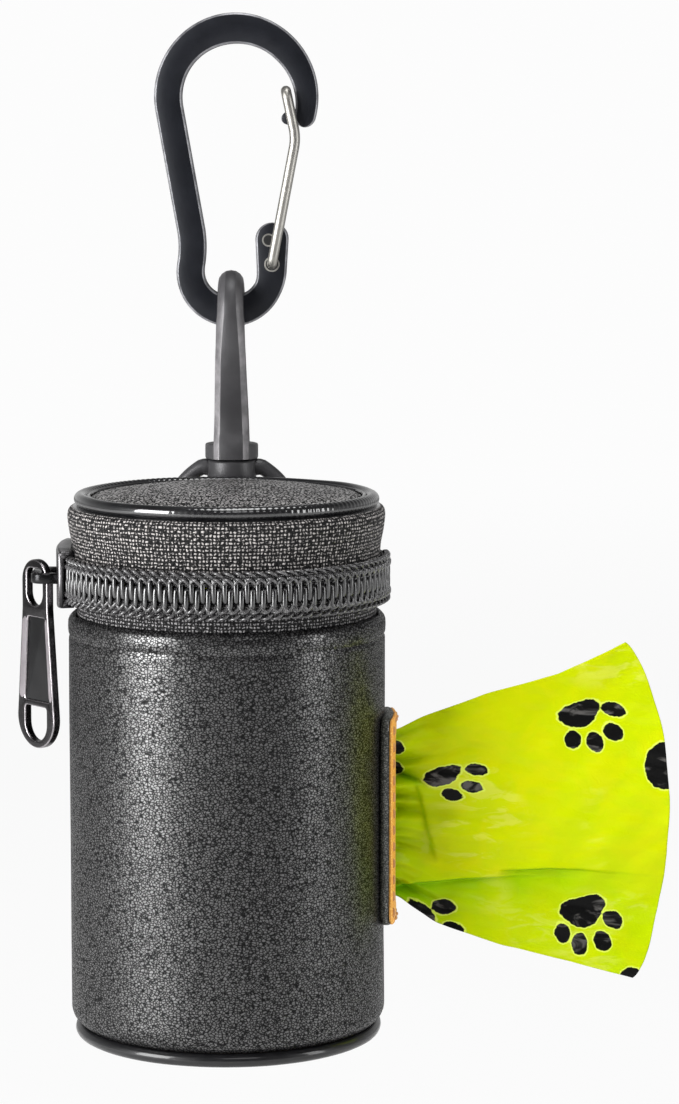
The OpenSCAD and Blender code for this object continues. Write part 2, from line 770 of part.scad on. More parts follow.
// A point of the film's middle sheet: s runs out along it, t runs up it from -1 to 1.
function film_point(s, t) =
    let (end = film_reach - 5 * t * t, x = film_from + s * (end - film_from),
        fold = 1.3 * pow(s, 1.3) * sin(t * 420 + 40))
    [x, fold, slot_z + t * film_half(x)];

module bag_tail() {
    ring_size = 2 * (film_rows + 1);
    points = [for (i = [0:film_columns], side = [1, -1], j = [0:film_rows])
        let (t = side * (2 * j / film_rows - 1), p = film_point(i / film_columns, t),
            edge = 0.35 + 0.65 * (1 - pow(t, 8)))
        p + [0, side * film_t / 2 * edge, 0]];
    walls = [for (i = [0:film_columns - 1], k = [0:ring_size - 1])
        let (a = i * ring_size + k, b = i * ring_size + (k + 1) % ring_size)
        each [[a, b, b + ring_size], [a, b + ring_size, a + ring_size]]];
    ends = [for (i = [0, film_columns], j = [0:film_rows - 1])
        let (o = i * ring_size, a = o + j, b = o + j + 1, c = o + ring_size - 1 - j, d = c - 1)
        each (i == 0 ? [[a, c, b], [b, c, d]] : [[a, b, c], [b, d, c]])];
    color("#b8ee1c") at_pouch() polyhedron(points, concat(walls, ends));
}

carabiner_frame();
gate_wire();
hook_body();
latch_pin();
hook_latch();
swivel_rivet();
swivel_loop();
hang_tab();
lid_piping();
lid_leather();
lid_padding();
lid_board();
lid_lining();
zip_tape_upper();
zip_teeth_upper();
top_stop_upper();
body_leather();
body_board();
body_lining();
zip_tape_lower();
zip_teeth_lower();
top_stop_lower();
bottom_stop();
base_leather();
base_piping();
base_board();
base_lining();
slot_patch_backing();
slot_patch_face();
slot_stitches();
hinge_strap();
strap_stitches();
slider_body();
slider_crown();
pull_tab();
roll_core();
roll_film();
bag_tail();
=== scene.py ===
"""Dog waste bag pouch: the looks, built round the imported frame. Shapes are worked out in mm."""
import math

import bmesh
import bpy
import numpy as np
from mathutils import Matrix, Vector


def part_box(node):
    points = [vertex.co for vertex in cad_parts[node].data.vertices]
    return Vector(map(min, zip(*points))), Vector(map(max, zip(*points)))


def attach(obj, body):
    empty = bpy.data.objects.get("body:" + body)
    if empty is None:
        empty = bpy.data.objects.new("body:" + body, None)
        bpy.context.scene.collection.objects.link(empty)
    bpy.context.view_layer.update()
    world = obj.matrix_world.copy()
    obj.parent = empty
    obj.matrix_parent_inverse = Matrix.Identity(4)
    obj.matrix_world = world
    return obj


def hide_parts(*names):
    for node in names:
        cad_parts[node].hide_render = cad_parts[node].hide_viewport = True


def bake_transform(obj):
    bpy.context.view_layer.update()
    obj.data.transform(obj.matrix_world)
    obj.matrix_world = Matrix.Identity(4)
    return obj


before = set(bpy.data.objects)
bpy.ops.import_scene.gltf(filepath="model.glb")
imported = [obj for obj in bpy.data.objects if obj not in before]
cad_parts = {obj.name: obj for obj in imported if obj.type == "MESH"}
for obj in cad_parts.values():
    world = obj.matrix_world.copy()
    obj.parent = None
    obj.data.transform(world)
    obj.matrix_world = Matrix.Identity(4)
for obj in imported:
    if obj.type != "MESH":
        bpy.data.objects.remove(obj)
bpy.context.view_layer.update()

MM = 0.001
TURN = 2 * np.pi
WHITE = (0.975, 0.975, 0.975)


def centre_of(node):
    """The middle of a node's box, in mm."""
    low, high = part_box(node)
    return (np.array(low) + np.array(high)) / 2 / MM


def ends_of(node, axis):
    """A node's lowest and highest place along an axis, in mm."""
    low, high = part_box(node)
    return low[axis] / MM, high[axis] / MM


# The pouch, in mm: its axis, the heights of its parts, half the slot's height with the radius of the slot's
# round ends, and how far from the axis the slot patch's face and the slider's crown stand.
AXIS = centre_of("lid_piping")[:2]
PIPING_Z = centre_of("lid_piping")[2]
ZIP_Z = centre_of("slider_body")[2]
LEATHER_LOW, LEATHER_TOP = ends_of("body_leather", 2)
BASE_Z = centre_of("base_piping")[2]
SLOT_Z = centre_of("slot_patch_face")[2]
SLOT_HALF, SLOT_END = 13.0, 2.5
FACE_R, CROWN_R = 24.3, 27.05

# What it hangs by, in mm: the line over the axis, the carabiner's foot and the gate's pivot, the hook's eye
# and collar, and the loop's boss, middle and bar.
HANG_X = AXIS[0]
FOOT_R, GATE_Z = 6.1, -24.55
BAR_Z = -31.85
COLLAR_TOP, COLLAR_LOW = -51.25, -53.55
BOSS_TOP, BOSS_LOW = -53.7, -56.6
LOOP_Z, LOOP_BAR_Z = -63.15, -60.65


# ---------------------------------------------------------------- surfaces
def grid_faces(rows, cols):
    """Quads between neighbouring points of a grid of rows by cols points."""
    a = np.arange(rows * cols).reshape(rows, cols)
    return np.stack([a[:-1, :-1], a[1:, :-1], a[1:, 1:], a[:-1, 1:]], -1).reshape(-1, 4)


def piece(name, grids, finish, uvs=None, sharp=40, weld=True, values=None):
    """A mesh piece from grids of points in mm. A grid may hold many copies of one shape in its first axes.
    Points that meet are merged, and faces turned outwards. values names numbers kept on the points."""
    points, faces, coords, start = [], [], [], 0
    for k, grid in enumerate(grids):
        rows, cols = grid.shape[-3:-1]
        copies = grid.reshape(-1, rows * cols, 3)
        offsets = start + np.arange(len(copies)) * rows * cols
        faces.append((grid_faces(rows, cols)[None] + offsets[:, None, None]).reshape(-1, 4))
        points.append(copies.reshape(-1, 3))
        if uvs is None:
            u, v = np.meshgrid(np.linspace(0, 1, rows), np.linspace(0, 1, cols), indexing="ij")
            own = np.stack([u, v], -1).reshape(1, -1, 2)
        else:
            own = uvs[k].reshape(-1, rows * cols, 2)
        coords.append(np.broadcast_to(own, (len(copies), rows * cols, 2)).reshape(-1, 2))
        start += len(copies) * rows * cols
    points, faces, coords = map(np.concatenate, (points, faces, coords))
    mesh = bpy.data.meshes.new(name)
    mesh.vertices.add(len(points))
    mesh.vertices.foreach_set("co", (points * MM).ravel())
    mesh.loops.add(faces.size)
    mesh.loops.foreach_set("vertex_index", faces.ravel())
    mesh.polygons.add(len(faces))
    mesh.polygons.foreach_set("loop_start", np.arange(0, faces.size, 4))
    mesh.update(calc_edges=True)
    mesh.uv_layers.new(name="flat").data.foreach_set("uv", coords[faces.ravel()].ravel())
    for key, numbers in (values or {}).items():
        mesh.attributes.new(key, "FLOAT", "POINT").data.foreach_set("value", np.ravel(numbers))
    if weld:
        tidy(mesh)
    return finished(name, mesh, finish, sharp)


def tidy(mesh):
    """Merges the points that meet and turns the faces outwards."""
    work = bmesh.new()
    work.from_mesh(mesh)
    bmesh.ops.remove_doubles(work, verts=work.verts, dist=4e-7)
    bmesh.ops.recalc_face_normals(work, faces=work.faces)
    work.to_mesh(mesh)
    work.free()


def finished(name, mesh, finish, sharp):
    """The object of a mesh, with its material and smooth shading up to an angle in degrees."""
    mesh.shade_smooth()
    mesh.set_sharp_from_angle(angle=math.radians(sharp))
    mesh.materials.append(finish.material)
    made = bpy.data.objects.new(name, mesh)
    bpy.context.scene.collection.objects.link(made)
    return made


def points_at(*numbers):
    """Points from their two or three numbers, each spread over the same grid."""
    return np.stack(np.broadcast_arrays(*numbers), -1)


def circle(radius, count):
    """Points round a circle, the last on the first."""
    a = np.linspace(0, TURN, count + 1)
    return radius * np.stack([np.cos(a), np.sin(a)], -1)


def soft_box(width, height, edge, steps=2):
    """A rectangle about the middle, whose corners are arcs of an edge radius; closed."""
    a = np.linspace(0, np.pi / 2, steps + 1)
    corner = edge * np.stack([np.cos(a), np.sin(a)], -1)
    turned = [corner @ np.array([[math.cos(q), math.sin(q)], [-math.sin(q), math.cos(q)]]) for q in
        np.arange(4) * np.pi / 2]
    w, h = width / 2 - edge, height / 2 - edge
    middles = [(w, h), (-w, h), (-w, -h), (w, -h)]
    points = np.concatenate([t + m for t, m in zip(turned, middles)])
    return np.concatenate([points, points[:1]])


def unit(vectors):
    """Vectors made one long."""
    return vectors / np.maximum(np.linalg.norm(vectors, axis=-1, keepdims=True), 1e-12)


def sweep(path, section, side, scale=None):
    """A profile carried along a path: path point plus the section's first number along side and its
    second along the path's direction crossed with side. scale shrinks the section at each point."""
    path = np.asarray(path, float)
    along = np.gradient(path, axis=-2)
    if np.allclose(path[..., 0, :], path[..., -1, :]):
        along[..., 0, :] = along[..., -1, :] = path[..., 1, :] - path[..., -2, :]
    along = unit(along)
    side = np.broadcast_to(side, path.shape)
    side = unit(side - (side * along).sum(-1, keepdims=True) * along)
    up = np.cross(along, side)
    section = np.asarray(section, float)
    if section.ndim == 2:
        section = section[None]
    if scale is not None:
        section = section * np.asarray(scale)[:, None, None]
    return (path[..., :, None, :] + section[..., 0:1] * side[..., :, None, :]
        + section[..., 1:2] * up[..., :, None, :])


def capped(path, reach, steps=4):
    """A path with rounded ends: further points at reach times sin(a), where the section's scale is
    cos(a). Returns the path and its scales."""
    a = np.linspace(0, np.pi / 2, steps + 1)[1:]
    head = path[0] + unit(path[0] - path[1]) * reach * np.sin(a)[::-1, None]
    tail = path[-1] + unit(path[-1] - path[-2]) * reach * np.sin(a)[:, None]
    scales = np.concatenate([np.cos(a)[::-1], np.ones(len(path)), np.cos(a)])
    return np.concatenate([head, path, tail]), scales


def rounded(points, radius, steps):
    """A polyline whose corners are quadratic arcs that leave its sides a radius from each corner."""
    points = np.asarray(points, float)
    t = np.linspace(0, 1, steps)[:, None]
    out = [points[:1]]
    for before, corner, after in zip(points[:-2], points[1:-1], points[2:]):
        a = corner + unit(before - corner) * min(radius, np.linalg.norm(before - corner) * 0.48)
        b = corner + unit(after - corner) * min(radius, np.linalg.norm(after - corner) * 0.48)
        out.append(a * (1 - t) ** 2 + corner * 2 * t * (1 - t) + b * t * t)
    return np.concatenate(out + [points[-1:]])


def spline(points, count):
    """A smooth curve through points: the cubic whose slope at each is half the step between its
    neighbours, sampled at equal lengths."""
    p = np.asarray(points, float)
    p = np.concatenate([2 * p[:1] - p[1:2], p, 2 * p[-1:] - p[-2:-1]])
    t = np.linspace(0, 1, 24, endpoint=False)[None, :, None]
    a, b, c, d = (q[:, None] for q in (p[:-3], p[1:-2], p[2:-1], p[3:]))
    curve = 0.5 * (2 * b + (c - a) * t + (2 * a - 5 * b + 4 * c - d) * t ** 2
        + (3 * b - a - 3 * c + d) * t ** 3)
    curve = np.concatenate([curve.reshape(-1, p.shape[1]), p[-2:-1]])
    length = np.concatenate([[0], np.cumsum(np.linalg.norm(np.diff(curve, axis=0), axis=1))])
    at = np.linspace(0, length[-1], count)
    return np.stack([np.interp(at, length, curve[:, k]) for k in range(p.shape[1])], -1)


def around(azimuth, radius, z):
    """Points at an azimuth in radians, a radius and a height about the pouch's axis."""
    return points_at(AXIS[0] + radius * np.cos(azimuth), AXIS[1] + radius * np.sin(azimuth), z)


def revolve(profile, count, centre=None):
    """A profile of radii and heights carried round an upright axis, the pouch's unless centre is given."""
    azimuth = np.radians(np.linspace(0, 360, count + 1))[:, None]
    grid = around(azimuth, profile[None, :, 0], profile[None, :, 1])
    if centre is not None:
        grid[..., :2] += np.array(centre) - AXIS
    return grid


def closed(profile):
    """A profile with its first point repeated at its end."""
    profile = np.asarray(profile, float)
    return np.concatenate([profile, profile[:1]])


def bevelled(profile, edge, steps=3):
    """A closed outline whose corners are quadratic arcs of an edge length; first point repeated."""
    p = np.asarray(profile, float)
    looped = np.concatenate([[(p[-1] + p[0]) / 2], p, [(p[-1] + p[0]) / 2]])
    return rounded(looped, edge, steps)


def ripple(u, v, seed, amount):
    """Slow unevenness: a sum of sines of two parameters, with directions and phases from a seed."""
    dice = np.random.default_rng(seed)
    total = 0
    for _ in range(7):
        a, b, phase = dice.normal(0, 1), dice.normal(0, 1), dice.uniform(0, TURN)
        total = total + np.sin(a * u + b * v + phase)
    return amount * total / 7


def plate(name, outlines, thickness, edge, finish, place):
    """A flat plate from an outer outline and its holes, as a filled curve with bevelled edges. place turns
    its points (across, up, out) into places in mm. The bevels hold the value that lightens edges."""
    curve = bpy.data.curves.new(name, "CURVE")
    curve.dimensions, curve.fill_mode = "2D", "BOTH"
    curve.extrude, curve.bevel_depth = thickness / 2 - edge, edge
    curve.offset, curve.bevel_resolution = -edge, 2
    for outline in outlines:
        line = curve.splines.new("POLY")
        line.points.add(len(outline) - 1)
        flat = np.concatenate([outline, np.zeros((len(outline), 1)), np.ones((len(outline), 1))], 1)
        line.points.foreach_set("co", flat.ravel())
        line.use_cyclic_u = True
    holder = bpy.data.objects.new(name + "_curve", curve)
    mesh = bpy.data.meshes.new_from_object(holder)
    bpy.data.objects.remove(holder)
    bpy.data.curves.remove(curve)
    points = np.zeros(len(mesh.vertices) * 3)
    mesh.vertices.foreach_get("co", points)
    points = points.reshape(-1, 3)
    out = np.abs(points[:, 2])
    lit = (out > thickness / 2 - edge + 0.01) & (out < thickness / 2 - 0.01)
    mesh.attributes.new("edge", "FLOAT", "POINT").data.foreach_set("value", lit.astype(float))
    mesh.vertices.foreach_set("co", (place(points) * MM).ravel())
    mesh.materials.clear()
    tidy(mesh)
    return finished(name, mesh, finish, 40)


def solid(made, thickness, offset=-1.0):
    """Gives a sheet its thickness, in mm."""
    modifier = made.modifiers.new("thickness", "SOLIDIFY")
    modifier.thickness, modifier.offset = thickness * MM, offset
    modifier.use_even_offset = True
    return made


def dress(made, body, slot, *replaced):
    """Puts a piece on its body and hides the nodes that it stands for. slot is not used."""
    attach(made, body)
    if replaced:
        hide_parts(*replaced)
    return made


# ---------------------------------------------------------------- finishes
class Socket:
    """A number that varies over a surface. Sums, products and powers of it add Math nodes."""

    def __init__(self, paint, output):
        self.paint, self.output = paint, output

    def math(self, operation, *values):
        """A Math node of this number and others."""
        return self.paint.node("ShaderNodeMath", {"operation": operation},
            dict(enumerate((self,) + values)))

    def __add__(self, other):
        return self.math("ADD", other)

    def __sub__(self, other):
        return self.math("SUBTRACT", other)

    def __rsub__(self, other):
        return self.paint.node("ShaderNodeMath", {"operation": "SUBTRACT"}, {0: other, 1: self})

    def __mul__(self, other):
        return self.math("MULTIPLY", other)

    def __pow__(self, other):
        return self.math("POWER", other)

    __radd__, __rmul__ = __add__, __mul__

    def ramp(self, start, stop, low=0.0, high=1.0):
        """Rises smoothly from low to high while the number goes from start to stop."""
        return self.paint.node("ShaderNodeMapRange", {"interpolation_type": "SMOOTHSTEP"},
            {"Value": self, "From Min": start, "From Max": stop, "To Min": low, "To Max": high})


class Paint:
    """A material: a Principled shader whose constants are set on it, and nodes for what varies."""

    def __init__(self, name, colour, rough, **constants):
        self.material = bpy.data.materials.new(name)
        self.material.use_nodes = True
        self.tree = self.material.node_tree
        self.shader = self.tree.nodes["Principled BSDF"]
        self.shader.inputs["Base Color"].default_value = (*colour, 1)
        self.shader.inputs["Roughness"].default_value = rough
        self.material.diffuse_color = (*colour, 1)
        for socket, value in constants.items():
            self.shader.inputs[socket.replace("_", " ")].default_value = value

    def node(self, kind, settings=None, inputs=None, output=0):
        """A node of a type, with its settings, and values or links for its sockets."""
        made = self.tree.nodes.new(kind)
        for key, value in (settings or {}).items():
            setattr(made, key, value)
        for key, value in (inputs or {}).items():
            if isinstance(value, Socket):
                self.tree.links.new(value.output, made.inputs[key])
            else:
                made.inputs[key].default_value = value
        return Socket(self, made.outputs[output])

    def set(self, socket, value):
        """Lets a varying value drive one of the shader's sockets."""
        self.tree.links.new(value.output, self.shader.inputs[socket])
        return self

    def place(self, scale=(1, 1, 1)):
        """Object coordinates in mm, times a scale along each axis."""
        at = self.node("ShaderNodeTexCoord", output="Object")
        return self.node("ShaderNodeMapping", None,
            {"Vector": at, "Scale": tuple(k / MM for k in scale)})

    def flat(self, scale):
        """The piece's own flat coordinates times a scale."""
        at = self.node("ShaderNodeTexCoord", output="UV")
        return self.node("ShaderNodeMapping", None, {"Vector": at, "Scale": (*scale, 1)})

    def noise(self, at, scale, detail=2.0, rough=0.5, distort=0.0):
        """Clouds about 0.5; a higher scale makes them smaller."""
        return self.node("ShaderNodeTexNoise", None, {"Vector": at, "Scale": scale, "Detail": detail,
            "Roughness": rough, "Distortion": distort})

    def cells(self, at, scale):
        """Distance to the nearest edge between cells."""
        return self.node("ShaderNodeTexVoronoi", {"feature": "DISTANCE_TO_EDGE"},
            {"Vector": at, "Scale": scale, "Randomness": 1.0}, "Distance")

    def value(self, name):
        """A number kept on the piece's points."""
        return self.node("ShaderNodeAttribute", {"attribute_name": name}, None, "Fac")

    def ray(self, kind):
        """1 where a ray is of a kind, else 0."""
        return self.node("ShaderNodeLightPath", output=f"Is {kind} Ray")

    def part(self, vector, axis):
        """One number of a vector."""
        return self.node("ShaderNodeSeparateXYZ", None, {"Vector": vector}, axis)

    def mix(self, amount, low, high):
        """A colour between two colours."""
        def full(c):
            """A colour with its fourth number."""
            return c if isinstance(c, Socket) else (*c, 1)
        return self.node("ShaderNodeMix", {"data_type": "RGBA"},
            {"Factor": amount, 6: full(low), 7: full(high)}, 2)

    def bump(self, height, depth, strength=1.0):
        """Raises the surface by height times depth, in mm."""
        return self.set("Normal", self.node("ShaderNodeBump", None,
            {"Height": height, "Distance": depth * MM, "Strength": strength}))


class Surround(Paint):
    """The world: a background shader, and nodes that are made as a material's are."""

    def __init__(self, name, colour):
        world = bpy.data.worlds.new(name)
        bpy.context.scene.world = world
        world.use_nodes = True
        self.tree = world.node_tree
        self.shader = self.tree.nodes["Background"]
        self.shader.inputs["Color"].default_value = (*colour, 1)


def leather(name, dark, light, rough, grain=2.3, depth=0.05, shine=1.0, **constants):
    """Grained leather: glossy pebbles, dull creases between them, and uneven dye. The base colour is also
    painted lighter on the pebbles' tops and darker in the creases: a painted highlight and painted shade.
    """
    paint = Paint(name, dark, rough, **{"Coat_Roughness": 0.33, "Coat_IOR": 2.25, **constants})
    at = paint.place((1, 1, 1.35))
    bend = paint.node("ShaderNodeTexNoise", None, {"Vector": at, "Scale": 0.9, "Detail": 1.0}, "Color")
    wander = paint.node("ShaderNodeVectorMath", {"operation": "MULTIPLY_ADD"},
        {0: bend, 1: (0.5, 0.5, 0.5), 2: at})
    pebble = paint.cells(wander, grain).ramp(0.03, 0.26)
    fine = paint.noise(at, grain * 1.1, 1.0, 0.5)
    dye = paint.noise(at, 0.09, 4.0, 0.55)
    top = pebble * (fine * 1.3 + 0.2)
    # Painted highlight and shade: the base colour rises on the pebbles' tops and falls to dark in the
    # creases.
    paint.set("Base Color", paint.mix((top * 0.9 + dye * 0.3).ramp(0.35, 1.0), dark, light))
    paint.set("Coat Weight", top * shine)
    paint.set("Roughness", dye * 0.1 + rough)
    return paint.bump(pebble * 0.7 + fine * 0.4, depth)


def woven(name, dark, light, pitch, size, rough, depth):
    """Woven cloth on flat coordinates of a given size: two sets of threads pass over each other in turn,
    their tops lighter and the gaps between them dark, partly the threads' own tone and partly a painted
    highlight and painted shade, with slubs."""
    paint = Paint(name, dark, rough, Specular_IOR_Level=0.25)
    at = paint.flat((size[0] / pitch, size[1] / pitch))
    u = paint.part(at, "X") + paint.noise(at, 0.5, 3.0, 0.6) * 1.1
    v = paint.part(at, "Y") + paint.noise(at, 0.62, 3.0, 0.6) * 1.1
    across, along = (u * math.pi).math("SINE"), (v * math.pi).math("SINE")
    over = (across * along).ramp(-0.1, 0.1)
    wide, high = across.math("ABSOLUTE"), along.math("ABSOLUTE")
    blob = over * wide ** 0.6 * high ** 1.8 + (1 - over) * (wide ** 1.8 * high ** 0.6 * 0.8)
    fuzz = paint.noise(at, 0.9, 2.0, 0.7)
    worn = paint.noise(at, 0.12, 2.0, 0.6)
    # The threads' tops lighter and the gaps dark: partly the threads' own tone, partly a painted highlight
    # and painted shade.
    tone = blob * fuzz.ramp(0.36, 0.58, 0.1, 1.2) + worn * 0.2
    paint.set("Base Color", paint.mix(tone.ramp(0.3, 1.05), dark, light))
    paint.set("Roughness", rough + 0.1 - fuzz * 0.25)
    return paint.bump(blob + fuzz * 0.6, depth)


def metal(name, colour, rough, grain=0.02, metallic=1.0, edge_rub_and_highlight=None, **constants):
    """Cast or coated metal: a fine grain, faint uneven polish, and edges that a value makes lighter, partly
    rubbed bare and partly a painted highlight along the bevels.
    """
    paint = Paint(name, colour, rough, Metallic=metallic, **constants)
    at = paint.place()
    speck = paint.noise(at, 3.2, 3.0, 0.6)
    cloud = paint.noise(at, 0.25, 3.0, 0.5)
    tone = paint.mix(cloud.ramp(0.35, 0.7), colour, tuple(1.25 * c + 0.002 for c in colour))
    # Lighter edges: partly rubbed metal, partly a painted highlight where the bevels catch the light.
    if edge_rub_and_highlight:
        rubbed_and_lit_edge = paint.value("edge") * paint.noise(at, 0.4, 3.0, 0.6).ramp(0.2, 0.75, 0.3, 1.0)
        tone = paint.mix(rubbed_and_lit_edge, tone, edge_rub_and_highlight)
    paint.set("Base Color", tone)
    paint.set("Roughness", speck * 0.14 + (rough - 0.07))
    return paint.bump(speck, grain)


def plain(name, dark, light, rough, scale=1.2, depth=0.05, **constants):
    """A worn plain surface: two tones in clouds and a fine tooth."""
    paint = Paint(name, dark, rough, **constants)
    at = paint.place()
    cloud = paint.noise(at, scale * 0.3, 4.0, 0.6)
    tooth = paint.noise(at, scale * 4, 2.0, 0.6)
    paint.set("Base Color", paint.mix((cloud * 0.6 + tooth * 0.4).ramp(0.3, 0.7), dark, light))
    paint.set("Roughness", tooth * 0.2 + (rough - 0.1))
    return paint.bump(tooth, depth)


anodised = metal("anodised bar", (0.006, 0.007, 0.011), 0.4, 0.006, 0.4, edge_rub_and_highlight=(0.33, 0.33, 0.35))
steel = metal("steel wire", (0.36, 0.35, 0.325), 0.44, 0.004)
cast = metal("cast metal", (0.05, 0.049, 0.052), 0.42, 0.02, 0.3, edge_rub_and_highlight=(0.26, 0.25, 0.26))
slider_metal = metal("slider metal", (0.02, 0.02, 0.021), 0.24, 0.008, 0.8, edge_rub_and_highlight=(0.3, 0.29, 0.3))
rim_metal = metal("pull rim metal", (0.05, 0.048, 0.05), 0.26, 0.02, 1.0, edge_rub_and_highlight=(0.5, 0.47, 0.49))
facet_metal = metal("pull facet metal", (0.38, 0.35, 0.37), 0.4, 0.05)
rivet_metal = metal("rivet metal", (0.06, 0.06, 0.06), 0.4)
black_leather = leather("black leather", (0.001, 0.001, 0.0013), (0.018, 0.017, 0.018), 0.55, 2.1, 0.06,
    Specular_IOR_Level=0.15)
# The crown's pale pebble colour is a painted highlight: the sheen of light on the lid's black leather.
crown_leather = leather("crown leather", (0.001, 0.001, 0.001), (0.5, 0.485, 0.48), 0.55, 1.9, 0.08,
    Specular_IOR_Level=0.15)
piping_leather = plain("piping", (0.003, 0.003, 0.004), (0.01, 0.01, 0.011), 0.4, 1.4, 0.006,
    Specular_IOR_Level=0.3, Coat_Weight=1.0, Coat_Roughness=0.05, Coat_IOR=1.8)
base_trim = plain("base piping", (0.003, 0.003, 0.004), (0.01, 0.01, 0.011), 0.4, 1.4, 0.006,
    Specular_IOR_Level=0.3, Coat_Weight=0.55, Coat_Roughness=0.1)
strap_leather = leather("strap leather", (0.004, 0.004, 0.004), (0.034, 0.033, 0.032), 0.35)
# The backing's greenish grey is partly its own dark leather and partly a painted reflection of the green film
# beside it.
backing_leather = leather("patch backing", (0.02, 0.021, 0.016), (0.075, 0.077, 0.055), 0.6, 2.5, 0.04)
tan = leather("tan leather", (0.86, 0.37, 0.06), (1.0, 0.56, 0.12), 0.6, 1.8, 0.03, 0.25)
band_cloth = woven("woven band", (0.002, 0.002, 0.0025), (0.53, 0.5, 0.487), 0.55, (142, 10.6), 0.6, 0.16)
tape_cloth = woven("zip tape", (0.002, 0.002, 0.0025), (0.36, 0.35, 0.355), 0.5, (134, 7), 0.6, 0.14)
lining_cloth = woven("lining", (0.012, 0.012, 0.013), (0.04, 0.04, 0.042), 0.3, (130, 60), 0.6, 0.04)
nylon = plain("zip nylon", (0.006, 0.006, 0.0065), (0.016, 0.016, 0.017), 0.2, 1.0, 0.006,
    Specular_IOR_Level=1.0, Coat_Weight=0.6, Coat_Roughness=0.08)
thread = plain("black thread", (0.015, 0.015, 0.016), (0.1, 0.097, 0.1), 0.25, 2.0, 0.02, Coat_Weight=1.0,
    Coat_Roughness=0.12)
tan_thread = plain("tan thread", (0.45, 0.2, 0.07), (0.62, 0.33, 0.13), 0.5, 2.0, 0.03)
stiffener = plain("stiffener", (0.16, 0.12, 0.08), (0.26, 0.2, 0.14), 0.8)
padding = plain("padding", (0.16, 0.16, 0.15), (0.24, 0.24, 0.23), 0.9, 1.5, 0.15)
card = plain("roll card", (0.35, 0.25, 0.15), (0.48, 0.37, 0.24), 0.85)


# ---------------------------------------------------------------- carabiner
def octagon(width, depth, cut, soft=0.0):
    """A rectangle with cut corners, its edges tightened by pairs of points, with a point in the middle of
    each side; closed. soft from 0 to 1 turns it towards an oval of the same size."""
    w, d = width / 2, depth / 2
    c, e = min(cut, 0.8 * w, 0.8 * d), 0.04
    corner = np.array([(w - c - e, d), (w - c + e, d - e), (w - c / 2, d - c / 2), (w - e, d - c + e),
        (w, d - c - e)])
    quarters = ((1, 1, 1, (w, 0)), (1, -1, -1, (0, -d)), (-1, -1, 1, (-w, 0)), (-1, 1, -1, (0, d)))
    points = np.concatenate([np.concatenate([corner[::order] * [sx, sy], [middle]])
        for sx, sy, order, middle in quarters])
    oval = unit(points / [w + 1e-9, d + 1e-9]) * [w, d]
    return closed(points * (1 - soft) + oval * soft)


# 1 at the octagon's points on its cut corners.
EDGES = np.array([0, 1, 1, 1, 0, 0] * 4 + [0], float)


